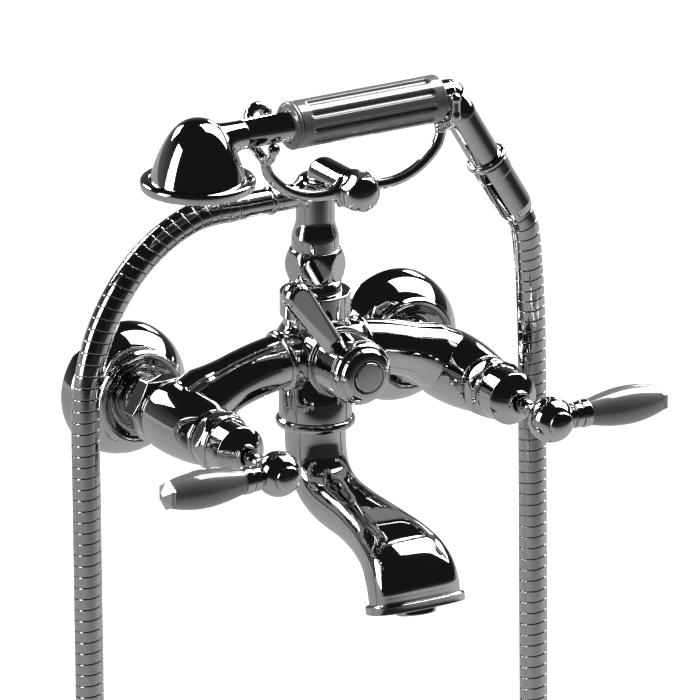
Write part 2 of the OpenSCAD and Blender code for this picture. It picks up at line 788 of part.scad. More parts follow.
// one half of the bow, from its level middle up to the fork, on side s
module bow_half(s) {
    lean = 90 - bow_turn;
    join_x = bow_flat + (bow_big - bow_small) * sin(bow_turn);
    join_z = bow_big - (bow_big - bow_small) * cos(bow_turn);
    mirror([s < 0 ? 1 : 0, 0, 0]) translate([0, -bow_d, hub_z]) rotate([90, 0, 0]) {
        rotate([0, 90, 0]) cylinder(r = bow_r, h = bow_flat);
        translate([bow_flat, bow_big, 0]) rotate([0, 0, 268])
            rotate_extrude(angle = bow_turn + 2) translate([bow_big, 0]) circle(r = bow_r - weld);
        translate([join_x, join_z, 0]) rotate([0, 0, 266 + bow_turn])
            rotate_extrude(angle = lean + 4) translate([bow_small, 0]) circle(r = bow_r - 2 * weld);
        translate([fork_x, bow_rise, 0]) sphere(r = bow_r + 2 * weld);
        bow_web(1);
        bow_web(-1);
    }
}

// the fillet between the rod and the eye, above or below the rod
module bow_web(s) {
    fillet = 8;
    rise = 0.74 * bow_r + fillet - lap;
    reach = sqrt(pow(eye_r + fillet - lap, 2) - pow(rise, 2));
    linear_extrude(height = 1.34 * bow_r, center = true) mirror([0, s < 0 ? 1 : 0]) difference() {
        polygon([[0, 0], [reach, 0], [reach, rise]]);
        translate([reach, rise]) circle(r = fillet);
    }
}

module cradle_bow() {
    base = hub_z + bow_rise;
    touch = tube_r + 3 + gap;
    low = [touch * cos(36), axis_z - touch * sin(36)];
    tall = elbow_r + gap + 2.5;
    back = tube_r + gap + 3.9;
    curl = 5.7;
    knob = 2.8;
    prong_x = grip_x1 + knob + 3 * gap;
    short_x = grip_x1 + knob + gap;
    l = -fork_x;
    d = -bow_d;
    color(chrome) difference() {
        union() {
            bow_half(-1);
            bow_half(1);
            front(0, hub_z) translate([0, 0, hub_end]) cylinder(r = eye_r, h = eye_h);
            // left fork: a short prong in front, and a tall one behind that curls over to the right
            rod([l, d, base], [l, d - low[0], low[1]], 2.3);
            translate([l, d - low[0], low[1]]) sphere(r = 3);
            rod([l, d, base], [l - 2.7, d + back, base + 8], 2.4);
            translate([l - 2.7, d + back, base + 8]) sphere(r = 2.4 + 2 * weld);
            rod([l - 2.7, d + back, base + 8], [l - 2.7, d + back, axis_z + 4.6 + lap], 2.4);
            translate([l + curl - 2.7, d + back, axis_z + 4.6]) rotate([90, 0, 0])
                rotate_extrude(angle = 180) translate([curl, 0]) circle(r = 2.4 - weld);
            translate([l + 2 * curl - 2.7, d + back, axis_z + 4.6]) sphere(r = 2.9);
            // right fork: a tall prong in front, and a short one behind
            rod([fork_x, d, base], [prong_x, d - tall, base + 7], 2.4);
            translate([prong_x, d - tall, base + 7]) sphere(r = 2.4 + 2 * weld);
            rod([prong_x, d - tall, base + 7], [prong_x, d - tall, axis_z + 2], 2.4);
            translate([prong_x, d - tall, axis_z + 2]) sphere(r = knob);
            rod([fork_x, d, base], [short_x, d + 8.8, axis_z - 7.6], 2.3);
            translate([short_x, d + 8.8, axis_z - 7.6]) sphere(r = knob);
        }
        front(0, hub_z) cylinder(r = stud_r + push_fit, h = 2 * bow_d);
    }
}

module cradle_cap() {
    washer = 1;
    straight = 1.6;
    dome = 8.6;
    flats = 2 * eye_r * cos(26);
    color(chrome) front(0, hub_z) difference() {
        union() {
            translate([0, 0, cap_start]) cylinder(r = eye_r, h = washer);
            translate([0, 0, cap_start + washer]) intersection() {
                rotate([0, 0, 14]) hex_bar(flats, straight + dome);
                turned(concat([[0, 0], [eye_r, 0], [eye_r, straight]],
                    [for (i = [1 : 10]) [eye_r * cos(9 * i), straight + dome * sin(9 * i)]]));
            }
        }
        cylinder(r = stud_r + push_fit, h = stud_end);
    }
}

// hose and its fittings

// places a shape at the hose outlet of the column, with z pointing left
module outlet() {
    translate([0, -body_d, outlet_z]) rotate([0, -90, 0]) children();
}

module hose_nut_lower() {
    start = outlet_shoulder + gap;
    end = -HOSE[0][0] - cast_gap;
    color(chrome) outlet() difference() {
        turned(concat(
            [[0, start], [5.7, start], [6, start + 0.4], [6, 20], [5.8, 20.3], [6, 20.6], [6, 23.2]],
            arc(5.6, 25.2, 1.4, -70, 70, 8),
            [[6, 27.4], [6.1, end - 4.4], [6.5, end - 4], [6.6, end - 0.4], [6.3, end], [0, end]]));
        cylinder(r = outlet_r + push_fit, h = outlet_end + hose_washer_h);
        cylinder(r = outlet_bore, h = end + 1);
    }
}

module hose_washer_lower() {
    color(rubber) outlet() translate([0, 0, outlet_end]) difference() {
        cylinder(r = outlet_r, h = hose_washer_h);
        translate([0, 0, -1]) cylinder(r = outlet_bore, h = hose_washer_h + 2);
    }
}

// ribbed hose: each rib is two rings, a wide one and a narrow one
hose_line = smooth(HOSE, 6);
hose_run = running(hose_line);
hose_total = hose_run[len(hose_run) - 1];
hose_x = [for (i = [0 : len(hose_line) - 1]) [hose_run[i], hose_line[i][0]]];
hose_y = [for (i = [0 : len(hose_line) - 1]) [hose_run[i], hose_line[i][1]]];
hose_z = [for (i = [0 : len(hose_line) - 1]) [hose_run[i], hose_line[i][2]]];
function hose_at(s) = [lookup(s, hose_x), lookup(s, hose_y), lookup(s, hose_z)];
function hose_ring(s, r) =
    let (
        v = hose_at(min(s + 2, hose_total)) - hose_at(max(s - 2, 0)),
        t = v / norm(v),
        a0 = cross(t, [0, 1, 0]),
        a = a0 / norm(a0),
        b = cross(t, a),
        p = hose_at(s))
    [for (k = [0 : HOSE_SIDES - 1]) let (w = 360 * k / HOSE_SIDES) p + r * (a * cos(w) + b * sin(w))];

module shower_hose() {
    m = 2 * HOSE_RIBS;
    rings = [for (i = [0 : m - 1]) hose_ring(hose_total * i / (m - 1), i % 2 == 0 ? hose_r - 0.6 : hose_r)];
    bore = [for (i = [0 : 97]) hose_ring(hose_total * i / 97, hose_r - HOSE_WALL)];
    color(bright) ring_tube(rings, bore);
}

// places a shape at the corner of the handset, with z along the leg of the elbow
module leg() {
    translate([elbow_x, -bow_d, axis_z]) rotate([0, 90 + bend_turn, 0]) children();
}

module hose_nut_upper() {
    end = leg_end + ferrule_len;
    color(chrome) leg() difference() {
        turned(concat([[0, leg_end]], arc(8.6, leg_end + 1.5, 1.5, -90, 90, 8),
            [[8.8, leg_end + 3.4], [9, leg_end + 4], [9, leg_end + 10], [8.6, leg_end + 10.6],
             [8.6, end - 4], [7.6, end], [0, end]]));
        cylinder(r = nipple_r + push_fit, h = leg_end + nipple_len + hose_washer_h);
        cylinder(r = elbow_bore, h = end + 1);
    }
}

module hose_washer_upper() {
    color(rubber) leg() translate([0, 0, leg_end + nipple_len]) difference() {
        cylinder(r = nipple_r, h = hose_washer_h);
        translate([0, 0, -1]) cylinder(r = elbow_bore, h = hose_washer_h + 2);
    }
}

// hand shower

// outline of the bell as radius at a height above the lip
bell_h = 31.5;
function bell_r(h) = (rose_r - 4.3) * pow(max(0, 1 - pow(h / bell_h, 1.15)), 0.42);

module rose_bell() {
    outside = [for (i = [0 : 15]) let (h = bell_h * sin(90 * i / 15)) [bell_r(h), h]];
    neck_root = 12;
    flare = 2.6;
    inside = [for (i = [0 : 10]) let (h = (bell_h - 2 * bell_wall) * sin(90 * i / 10))
        [max(0, bell_r(h + 0.2) - bell_wall), h]];
    color(chrome) translate([rose_x, -bow_d, rose_z]) difference() {
        union() {
            turned(concat([[0, 0]], outside));
            translate([0, 0, axis_z - rose_z]) rotate([0, 90, 0]) turned(concat(
                [[0, neck_root / 2], [tube_r + flare, neck_root / 2]],
                [for (i = [0 : 8]) let (t = i / 8)
                    [tube_r + flare * pow(1 - t, 2.4), neck_root + (neck_end - neck_root) * t]],
                [[0, neck_end]]));
        }
        turned(concat([[0, -1], [bell_r(0.2) - bell_wall, -1]], inside, [[0, bell_h - 2 * bell_wall]]));
        translate([0, 0, axis_z - rose_z]) rotate([0, 90, 0]) cylinder(r = tube_r - tube_wall, h = 40);
    }
}

module rose_ring() {
    color(chrome) translate([rose_x, -bow_d, rose_z]) difference() {
        rotate_extrude() translate([rose_r - lip_r, 0]) circle(r = lip_r);
        cylinder(r = bell_r(0) + push_fit, h = 10);
        translate([0, 0, -10]) cylinder(r = bell_r(0) - plate_edge, h = 20);
    }
}

module spray_plate() {
    color(satin) translate([rose_x, -bow_d, rose_z]) difference() {
        translate([0, 0, -2]) cylinder(r = bell_r(0) - plate_edge - push_fit, h = 2);
        for (ring = [1 : 3]) for (a = [0 : 60 / ring : 359])
            rotate([0, 0, a]) translate([ring * 5.4, 0, -3]) cylinder(r = 0.9, h = 5, $fn = 24);
    }
}

module handset_tube() {
    start = rose_x + neck_end;
    color(chrome) translate([start, -bow_d, axis_z]) rotate([0, 90, 0]) difference() {
        cylinder(r = tube_r, h = grip_x1 - start);
        translate([0, 0, -1]) cylinder(r = tube_r - tube_wall, h = 200);
    }
}

module handset_grip() {
    l = grip_x1 - grip_x0;
    r = handset_grip_r;
    hole_r = tube_r + push_fit;
    flute_r = 2.2;
    from = 10;
    to = l - 8;
    color(satin) translate([grip_x0, -bow_d, axis_z]) rotate([0, 90, 0]) difference() {
        turned(concat(
            [[hole_r, 0], [r - 1.5, 0]], arc(r - 1.2, 1.4, 1.4, -80, 80, 8),
            [[r, 3.4], [r, l - 0.8], [r - 0.8, l], [hole_r, l]]));
        for (k = [0 : flute_count - 1])
            rotate([0, 0, 360 * (k + 0.5) / flute_count]) translate([r + 0.9, 0, 0]) {
                translate([0, 0, from]) cylinder(r = flute_r, h = to - from);
                translate([0, 0, from]) sphere(r = flute_r);
                translate([0, 0, to]) sphere(r = flute_r);
            }
    }
}

// the bend of the elbow as a bar of radius r
module elbow_bend(r) {
    translate([elbow_x - leg_start, -bow_d, axis_z - bend_r]) rotate([90, 0, 0])
        rotate([0, 0, 90 - bend_turn])
        rotate_extrude(angle = bend_turn) translate([bend_r, 0]) circle(r = r);
}

module handset_elbow() {
    start = grip_x1;
    turn_x = elbow_x - leg_start;
    color(chrome) difference() {
        union() {
            translate([start, -bow_d, axis_z]) rotate([0, 90, 0])
                cylinder(r = elbow_r + weld, h = turn_x - start + lap);
            elbow_bend(elbow_r);
            leg() translate([0, 0, leg_start - lap])
                cylinder(r = elbow_r - 0.3, h = leg_end - leg_start + lap);
            leg() translate([0, 0, leg_end - 1]) cylinder(r = nipple_r, h = nipple_len + 1);
        }
        translate([start - 1, -bow_d, axis_z]) rotate([0, 90, 0])
            cylinder(r = elbow_bore, h = turn_x - start + 1 + lap);
        elbow_bend(elbow_bore + 0.1);
        leg() translate([0, 0, leg_start - lap]) cylinder(r = elbow_bore, h = 60);
    }
}

mixer_body();
wall_union(-half_spacing);  // wall_union_hot
wall_union(half_spacing);  // wall_union_cold
wall_flange(-half_spacing);  // wall_flange_hot
wall_flange(half_spacing);  // wall_flange_cold
union_nut(-half_spacing, 30);  // union_nut_hot
union_nut(half_spacing, 12);  // union_nut_cold
inlet_washer(-half_spacing);  // inlet_washer_hot
inlet_washer(half_spacing);  // inlet_washer_cold
headwork(-half_spacing, 31);  // headwork_hot
headwork(half_spacing, 6);  // headwork_cold
bonnet(-half_spacing);  // bonnet_hot
bonnet(half_spacing);  // bonnet_cold
fixed_disc(-half_spacing);  // fixed_disc_hot
fixed_disc(half_spacing);  // fixed_disc_cold
spindle(-half_spacing);  // spindle_hot
spindle(half_spacing);  // spindle_cold
turning_disc(-half_spacing);  // turning_disc_hot
turning_disc(half_spacing);  // turning_disc_cold
handle_ball(-1);  // handle_ball_hot
handle_ball(1);  // handle_ball_cold
handle_screw(-half_spacing);  // handle_screw_hot
handle_screw(half_spacing);  // handle_screw_cold
handle_cap(-half_spacing);  // handle_cap_hot
handle_cap(half_spacing);  // handle_cap_cold
lever_stem(-1);  // lever_stem_hot
lever_stem(1);  // lever_stem_cold
lever_grip(-1);  // lever_grip_hot
lever_grip(1);  // lever_grip_cold
lever_tip(-1);  // lever_tip_hot
lever_tip(1);  // lever_tip_cold
diverter_sleeve();
diverter_spindle();
diverter_knob();
diverter_lever();
diverter_cap();
spout();
spout_tail();
spout_ring();
aerator_shell();
aerator_insert();
outlet_collar();
column_nut();
cradle_stem();
cradle_bow();
cradle_cap();
hose_nut_lower();
hose_washer_lower();
shower_hose();
hose_nut_upper();
hose_washer_upper();
rose_bell();
rose_ring();
spray_plate();
handset_tube();
handset_grip();
handset_elbow();
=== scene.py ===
# %% [markdown]
# # A bath shower mixer in polished chrome
# The CAD model gives the sizes and every joint. This lesson gives the mixer its looks: each turned, cast or
# bent piece is worked out again as one smooth surface, because plated metal mirrors the whole room and shows
# every flat of a coarse mesh. Sizes are in millimetres and mostly those of the CAD source. The diverter, the
# front of the spout, the elbow, the lip and parts of the cradle differ from it by some millimetres.

# %% Load the frame
import math

import bpy
import numpy as np
from mathutils import Matrix


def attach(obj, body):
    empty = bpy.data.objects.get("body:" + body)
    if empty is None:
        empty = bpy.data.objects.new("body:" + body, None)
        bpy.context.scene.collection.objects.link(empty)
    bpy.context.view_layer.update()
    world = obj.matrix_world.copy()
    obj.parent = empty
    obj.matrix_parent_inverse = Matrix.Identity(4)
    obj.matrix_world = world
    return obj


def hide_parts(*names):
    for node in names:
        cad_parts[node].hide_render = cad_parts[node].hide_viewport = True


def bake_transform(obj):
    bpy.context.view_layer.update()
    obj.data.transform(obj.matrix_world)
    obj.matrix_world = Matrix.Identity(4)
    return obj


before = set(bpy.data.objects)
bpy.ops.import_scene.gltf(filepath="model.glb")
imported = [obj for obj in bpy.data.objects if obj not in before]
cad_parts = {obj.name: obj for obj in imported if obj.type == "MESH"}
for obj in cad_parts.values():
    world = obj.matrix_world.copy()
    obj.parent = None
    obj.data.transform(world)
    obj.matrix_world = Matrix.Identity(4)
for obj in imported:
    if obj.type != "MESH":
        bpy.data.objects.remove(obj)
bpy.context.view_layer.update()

MM = 0.001
scene = bpy.context.scene
scene.view_settings.view_transform = "Standard"

# %% [markdown]
# ## Camera
# The photograph was taken from the left and a little above, from so far away that nothing narrows with
# distance. A very long lens far off gives that view and still behaves as an ordinary camera when it moves.

# %% Place the camera
def camera_axes(azimuth, elevation):
    """Right, up and back of a camera that is turned about z by azimuth and lifted by elevation, in degrees."""
    a, e = math.radians(azimuth), math.radians(elevation)
    right = np.array([math.cos(a), math.sin(a), 0.0])
    back = np.array([math.sin(a) * math.cos(e), -math.cos(a) * math.cos(e), math.sin(e)])
    return right, np.cross(back, right), back


lens = bpy.data.cameras.new("photo_lens")
lens.lens, lens.sensor_width = 1000.0, 36.0
lens.clip_start, lens.clip_end = 0.5, 60.0
camera = bpy.data.objects.new("photo_camera", lens)
scene.collection.objects.link(camera)
right, up, back = camera_axes(-31.0, 19.0)
stand = np.array([0.0391, -0.0218, 0.0043]) + 9.26 * back
camera.matrix_world = Matrix([[*map(float, row), float(at)] for row, at in zip(np.stack([right, up, back], 1), stand)]
                             + [[0.0, 0.0, 0.0, 1.0]])
scene.camera = camera
print("camera at", np.round(stand, 3))

# %% [markdown]
# ## Marks on a plated surface
# Fresh chrome is almost a mirror, but hands and water leave faint wiping marks and a fine film. One node group
# makes them for every finish: wide soft noise for the film and fine noise for the marks. It gives a roughness,
# a shade that changes a little over the surface, and a height for a bump.

# %% The group of handling marks
def add(tree, kind, x, y, **inputs):
    """Adds a node at x, y and sets its input sockets by name, or by number where the name starts with i."""
    n = tree.nodes.new(kind)
    n.location = (x, y)
    for key, value in inputs.items():
        socket = n.inputs[int(key[1:])] if key[0] == "i" and key[1:].isdigit() else n.inputs[key.replace("_", " ")]
        socket.default_value = value
    return n


def wire(tree, *rows):
    """Joins nodes: each row is a node, its output, another node and that one's input."""
    for a, output, b, into in rows:
        tree.links.new(a.outputs[output], b.inputs[into])


def handling_marks():
    """Film = wide noise, marks = fine noise; roughness = Base + Spread * (film + marks / 2), shade = film."""
    g = bpy.data.node_groups.new("handling_marks", "ShaderNodeTree")
    for name, value in (("Film Scale", 45.0), ("Mark Scale", 900.0), ("Base", 0.04), ("Spread", 0.05)):
        s = g.interface.new_socket(name, in_out="INPUT", socket_type="NodeSocketFloat")
        s.default_value = value
    for name in ("Roughness", "Shade", "Height"):
        g.interface.new_socket(name, in_out="OUTPUT", socket_type="NodeSocketFloat")
    source, sink = g.nodes.new("NodeGroupInput"), g.nodes.new("NodeGroupOutput")
    source.location, sink.location = (-900, 0), (500, 0)
    place = add(g, "ShaderNodeTexCoord", -900, -260)
    film = add(g, "ShaderNodeTexNoise", -600, 120, Detail=3.0, Roughness=0.55)
    marks = add(g, "ShaderNodeTexNoise", -600, -160, Detail=2.0, Roughness=0.6)
    half = add(g, "ShaderNodeMath", -350, -160, i1=0.5)
    half.operation = "MULTIPLY"
    both = add(g, "ShaderNodeMath", -180, 0)
    rough = add(g, "ShaderNodeMath", 40, 60)
    rough.operation = "MULTIPLY_ADD"
    wire(g, (place, "Object", film, "Vector"), (place, "Object", marks, "Vector"),
         (source, "Film Scale", film, "Scale"), (source, "Mark Scale", marks, "Scale"), (marks, "Fac", half, 0),
         (film, "Fac", both, 0), (half, 0, both, 1), (both, 0, rough, 0), (source, "Spread", rough, 1),
         (source, "Base", rough, 2), (rough, 0, sink, "Roughness"), (film, "Fac", sink, "Shade"),
         (marks, "Fac", sink, "Height"))
    return g


MARKS = handling_marks()
print("group", MARKS.name, [s.name for s in MARKS.interface.items_tree])

# %% [markdown]
# ## Finishes
# Each finish is a Principled surface whose colour runs between two close shades, with the group above for its
# roughness. Chrome is a full metal, the grips are a dark satin lacquer, and the hidden brass, rubber and
# ceramic get their own shades for anyone who takes the mixer apart.

# %% Make the finishes
def finish(name, dark, light, base, spread, metallic=0.0, film=45.0, mark=900.0, bump=0.0, coat=0.0, groove=0.0,
           gloss=1.5):
    """A surface whose colour goes from dark to light with the film, and is darkened further as painted shade where
    the mesh marks a groove or flute.
    """
    m = bpy.data.materials.new(name)
    m.use_nodes = True
    tree, link = m.node_tree, m.node_tree.links.new
    shader = tree.nodes["Principled BSDF"]
    shader.inputs["Metallic"].default_value = metallic
    marks = tree.nodes.new("ShaderNodeGroup")
    marks.node_tree, marks.location = MARKS, (-700, 0)
    for key, value in (("Film Scale", film), ("Mark Scale", mark), ("Base", base), ("Spread", spread)):
        marks.inputs[key].default_value = value
    shades = tree.nodes.new("ShaderNodeValToRGB")
    shades.location = (-420, 160)
    shades.color_ramp.elements[0].position, shades.color_ramp.elements[1].position = 0.3, 0.7
    shades.color_ramp.elements[0].color = (*dark, 1.0)
    shades.color_ramp.elements[1].color = (*light, 1.0)
    link(marks.outputs["Shade"], shades.inputs["Fac"])
    link(marks.outputs["Roughness"], shader.inputs["Roughness"])
    colour = shades.outputs["Color"]
    # Painted shade: inside grooves and flutes the colour is mixed towards a darker copy of the dark shade, standing
    # in for the light that reaches less far in.
    if groove:
        depth = tree.nodes.new("ShaderNodeAttribute")
        depth.attribute_name, depth.location = "groove", (-420, -220)
        shadow = tree.nodes.new("ShaderNodeMix")
        shadow.data_type, shadow.location = "RGBA", (-120, 160)
        shadow.inputs["B"].default_value = (*(c * groove for c in dark), 1.0)
        link(depth.outputs["Fac"], shadow.inputs["Factor"])
        link(colour, shadow.inputs["A"])
        colour = shadow.outputs["Result"]
    link(colour, shader.inputs["Base Color"])
    if bump:
        b = add(tree, "ShaderNodeBump", -200, -300, Strength=bump, Distance=0.0001)
        link(marks.outputs["Height"], b.inputs["Height"])
        link(b.outputs["Normal"], shader.inputs["Normal"])
    if coat:
        shader.inputs["Coat Weight"].default_value = coat
        shader.inputs["Coat Roughness"].default_value = 0.03
        shader.inputs["Coat IOR"].default_value = gloss
    return m


FINISH = {
    "polished_chrome": finish("polished_chrome", (0.56, 0.565, 0.575), (0.60, 0.605, 0.61), 0.02, 0.03, 1.0,
                              bump=0.02),
    # The hose and the grips paint shade into their grooves: there the colour falls to 0.12 and 0.5 of the dark shade.
    "hose_chrome": finish("hose_chrome", (0.52, 0.525, 0.53), (0.57, 0.575, 0.58), 0.05, 0.06, 1.0, groove=0.12),
    "satin_grip": finish("satin_grip", (0.165, 0.165, 0.167), (0.19, 0.19, 0.192), 0.32, 0.10, 0.0, mark=2600.0,
                         bump=0.08, coat=1.0, groove=0.5, gloss=1.9),
    "brass": finish("brass", (0.52, 0.36, 0.14), (0.64, 0.46, 0.20), 0.22, 0.12, 1.0),
    "washer_rubber": finish("washer_rubber", (0.015, 0.015, 0.016), (0.03, 0.03, 0.03), 0.6, 0.2, bump=0.2),
    "valve_ceramic": finish("valve_ceramic", (0.74, 0.72, 0.67), (0.80, 0.78, 0.74), 0.12, 0.08),
    "screw_steel": finish("screw_steel", (0.50, 0.50, 0.50), (0.58, 0.58, 0.57), 0.22, 0.12, 1.0, mark=1800.0,
                          bump=0.1),
    "dark_plastic": finish("dark_plastic", (0.03, 0.03, 0.032), (0.05, 0.05, 0.052), 0.35, 0.15, mark=3000.0,
                           bump=0.15),
}
print("finishes", list(FINISH))

# %% [markdown]
# ## Surfaces from grids
# Every piece is a grid of points whose columns run once round a section and whose rows run along it. Rows that
# shrink to one point become the middle of a fan, so ends are closed. The sign of the enclosed volume says
# whether the faces look outwards.

# %% A grid into a mesh
def shell(p, ring=False):
    """Points and quads of a grid: neighbours are joined, columns close, and rows close too for a ring."""
    rows, cols = p.shape[:2]
    index = np.arange(rows * cols).reshape(rows, cols)
    tight = np.ptp(p, axis=1).max(axis=1) < 1e-6
    index[tight] = index[tight][:, :1]
    low, high = (index, np.roll(index, -1, 0)) if ring else (index[:-1], index[1:])
    return p.reshape(-1, 3), np.stack([low, np.roll(low, -1, 1), np.roll(high, -1, 1), high], -1).reshape(-1, 4)


def enclosed(v, q):
    """Volume inside the faces: a sixth of the triple product of each triangle's corners, summed."""
    a, b, c, d = v[q[:, 0]], v[q[:, 1]], v[q[:, 2]], v[q[:, 3]]
    return float((np.einsum("ij,ij->i", a, np.cross(b, c)) + np.einsum("ij,ij->i", a, np.cross(c, d))).sum() / 6)


def make_piece(name, shells, slot, body="mixer", stands_for=(), groove=None):
    """Joins shells into one smooth object, with faces outwards: a quad with two equal corners is a triangle."""
    verts, quads, tris, start = [], [], [], 0
    for v, q in shells:
        q = q[:, ::-1] if enclosed(v - v.mean(0), q) < 0 else q
        head, tail = q[:, 0] == q[:, 1], q[:, 2] == q[:, 3]
        quads.append(q[~(head | tail)] + start)
        tris.append(np.vstack([q[head][:, 1:], q[tail & ~head][:, :3]]) + start)
        verts.append(v)
        start += len(v)
    v, q, t = np.vstack(verts) * MM, np.vstack(quads), np.vstack(tris)
    used = np.unique(np.concatenate([q.ravel(), t.ravel()]))
    order = np.zeros(len(v), int)
    order[used] = np.arange(len(used))
    faces = order[q].tolist() + order[t].tolist()
    mesh = bpy.data.meshes.new(name)
    mesh.from_pydata(v[used], [], faces)
    mesh.polygons.foreach_set("use_smooth", np.ones(len(faces), bool))
    # The groove values go into a mesh attribute that the finish reads to paint shade into the grooves.
    if groove is not None:
        depth = mesh.attributes.new("groove", "FLOAT", "POINT")
        depth.data.foreach_set("value", groove.ravel()[used].astype(np.float32))
    mesh.materials.append(FINISH[slot])
    mesh.update()
    piece = bpy.data.objects.new(name, mesh)
    scene.collection.objects.link(piece)
    if body:
        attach(piece, body)
    if stands_for:
        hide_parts(*stands_for)
    print(name, len(faces), "faces")
    return piece

# %% [markdown]
# ## Shower hose
# The hose is a bright metal strip wound into a tube: each turn locks over the next and leaves a thin groove, which
# its colour darkens as painted shade.
# Its middle line has the points of the CAD source, apart from a few below the ferrule, and the grid is sheared
# so that its rows follow the groove round like a screw thread. It leaves the column to the left, hangs in one
# loop and comes up to the hand shower.

# %% The line of the hose
def curve_through(points, steps):
    """Between b and c, with a before and d after: half of 2b + (c-a)t + (2a-5b+4c-d)t^2 + (3b-a-3c+d)t^3."""
    p = np.asarray(points, float)
    q = np.vstack([p[:1], p, p[-1:]])
    a, b, c, d = q[:-3, None], q[1:-2, None], q[2:-1, None], q[3:, None]
    t = (np.arange(steps) / steps)[None, :, None]
    w = 0.5 * (2 * b + (c - a) * t + (2 * a - 5 * b + 4 * c - d) * t**2 + (3 * b - a - 3 * c + d) * t**3)
    return np.vstack([w.reshape(-1, p.shape[1]), p[-1:]])


def running(line):
    """Length from the start of a line to each of its points."""
    return np.concatenate([[0.0], np.cumsum(np.linalg.norm(np.diff(line, axis=0), axis=1))])


HOSE = [
    (-44, -55, 100), (-57.5, -55, 100), (-69.5, -55, 97.8), (-84.5, -55, 90.6), (-97.5, -55, 80.4), (-107.3, -55, 69),
    (-114.7, -55, 57), (-120.4, -55, 43.8), (-124.2, -55, 28.8), (-126, -55, 12), (-126, -55, -8), (-125.5, -55, -40),
    (-125, -55, -85), (-124.5, -55, -130), (-125, -55, -180), (-126, -56, -230), (-127, -57, -280), (-126, -58, -330),
    (-122, -60, -380), (-112, -62, -425), (-94, -65, -463), (-68, -68, -490), (-34, -72, -504), (0, -75, -505),
    (34, -78, -493), (62, -81, -469), (83, -83, -435), (96, -84, -393), (102, -85, -345), (104, -85, -290),
    (104, -85, -230), (103.5, -85, -170), (103, -85, -110), (102.5, -85, -50), (102, -85, 0), (100.8, -86, 30.5),
    (97.6, -88.5, 58), (94.8, -90, 75.2), (90.85, -90, 84.8)]
hose_line = curve_through([(-37, -55, 100)] + HOSE + [(87.1, -90, 91.1)], 24)
hose_run = running(hose_line)
print("hose line", round(hose_run[-1], 1), "mm")

# %% The surface of the hose
HOSE_R, PITCH, SIDES = 6.8, 5.5, 28
RIB = np.array([(0.0, 0.0), (0.035, 0.02), (0.055, 0.30), (0.08, 0.38), (0.105, 0.30), (0.125, 0.02), (0.16, 0.0),
                (0.2, 0.0), (0.6, 0.0), (0.96, 0.0)])


def screw_shell(line, run):
    """Row k and column j lie at s = pitch (k + j / columns); a row's last column meets the first, one turn on."""
    turns, per = int(run[-1] / PITCH) - 1, len(RIB)
    pitch = run[-1] / (turns + 1 + RIB[-1, 0])
    steps = (np.arange(turns + 1)[:, None] + RIB[None, :, 0]).ravel()
    depth = np.tile(RIB[:, 1], turns + 1)
    w = np.arange(SIDES) / SIDES
    s = pitch * (steps[:, None] + w[None, :])
    c = np.stack([np.interp(s, run, line[:, k]) for k in range(3)], -1)
    t = np.stack([np.interp(s, run, np.gradient(line[:, k], run)) for k in range(3)], -1)
    a = np.cross(t, (0.0, 1.0, 0.0))
    a /= np.linalg.norm(a, axis=-1, keepdims=True)
    b = np.cross(t, a) / np.linalg.norm(t, axis=-1, keepdims=True)
    r = HOSE_R - depth[:, None] - 1.4 * np.clip(1 - s / 9.0, 0, 1)
    turn = 2 * math.pi * w[None, :, None]
    p = c + r[..., None] * (a * np.cos(turn) + b * np.sin(turn))
    rows = len(steps)
    index = np.arange(rows * SIDES).reshape(rows, SIDES)
    body = np.stack([index[:-1, :-1], index[:-1, 1:], index[1:, 1:], index[1:, :-1]], -1).reshape(-1, 4)
    seam = np.stack([index[:-1 - per, -1], index[per:-1, 0], index[per + 1:, 0], index[1:-per, -1]], -1)
    first = np.concatenate([index[0], index[per:0:-1, 0]])
    last = np.concatenate([index[-1], index[-2:-2 - per:-1, -1]])
    mid = rows * SIDES
    fan = [np.stack([loop, np.roll(loop, -1), np.full(len(loop), at), np.full(len(loop), at)], -1)
           for loop, at in ((first[::-1], mid), (last, mid + 1))]
    points = np.vstack([p.reshape(-1, 3), c[0, :1], c[-1, -1:]])
    # Painted shade for the grooves: 1 at the bottom of a groove and 0 on the flat of the strip.
    shade = np.concatenate([np.repeat(np.clip(depth / 0.38, 0, 1), SIDES), [0.0, 0.0]])
    return (points, np.vstack([body, seam, *fan])), shade


hose_shell, hose_groove = screw_shell(hose_line, hose_run)
hose = make_piece("wound_hose", [hose_shell], "hose_chrome", None, ("shower_hose",), hose_groove)
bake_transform(hose)

# %% [markdown]
# ## Turned pieces
# Most of the mixer comes off a lathe. A turned piece needs only its outline: points of radius and distance
# along the axis, with a rounding at each corner, because a polished edge is never sharp and its thin highlight
# is what makes it look like metal. Extra points close to each rounding keep the flats beside it flat.

# %% Outlines and turning
def outline(points, steps=6):
    """Points of [radius, distance, rounding]: a corner becomes an arc that touches its sides r / tan(half) away."""
    rows = [np.array([*q, 0.0][:3], float) for q in points]
    line = [rows[0][:2]]
    for a, b, d in zip(rows[:-2], rows[1:-1], rows[2:]):
        if b[2] <= 0:
            line.append(b[:2])
            continue
        u, w = a[:2] - b[:2], d[:2] - b[:2]
        lu, lw = np.linalg.norm(u), np.linalg.norm(w)
        u, w = u / lu, w / lw
        half = 0.5 * math.acos(float(np.clip(u @ w, -1, 1)))
        reach = min(b[2] / math.tan(half), 0.49 * lu, 0.49 * lw)
        r = reach * math.tan(half)
        centre = b[:2] + (u + w) / np.linalg.norm(u + w) * r / math.sin(half)
        e0, e1 = b[:2] + u * reach - centre, b[:2] + w * reach - centre
        turn = math.acos(float(np.clip(e0 @ e1 / (r * r), -1, 1)))
        k = np.linspace(0, 1, steps + 1)[:, None]
        arc = centre + (np.sin((1 - k) * turn) * e0 + np.sin(k * turn) * e1) / math.sin(turn)
        hold = min(0.15, 0.2 * reach)
        line += [b[:2] + u * (reach + hold), *arc, b[:2] + w * (reach + hold)]
    line.append(rows[-1][:2])
    return np.array(line)


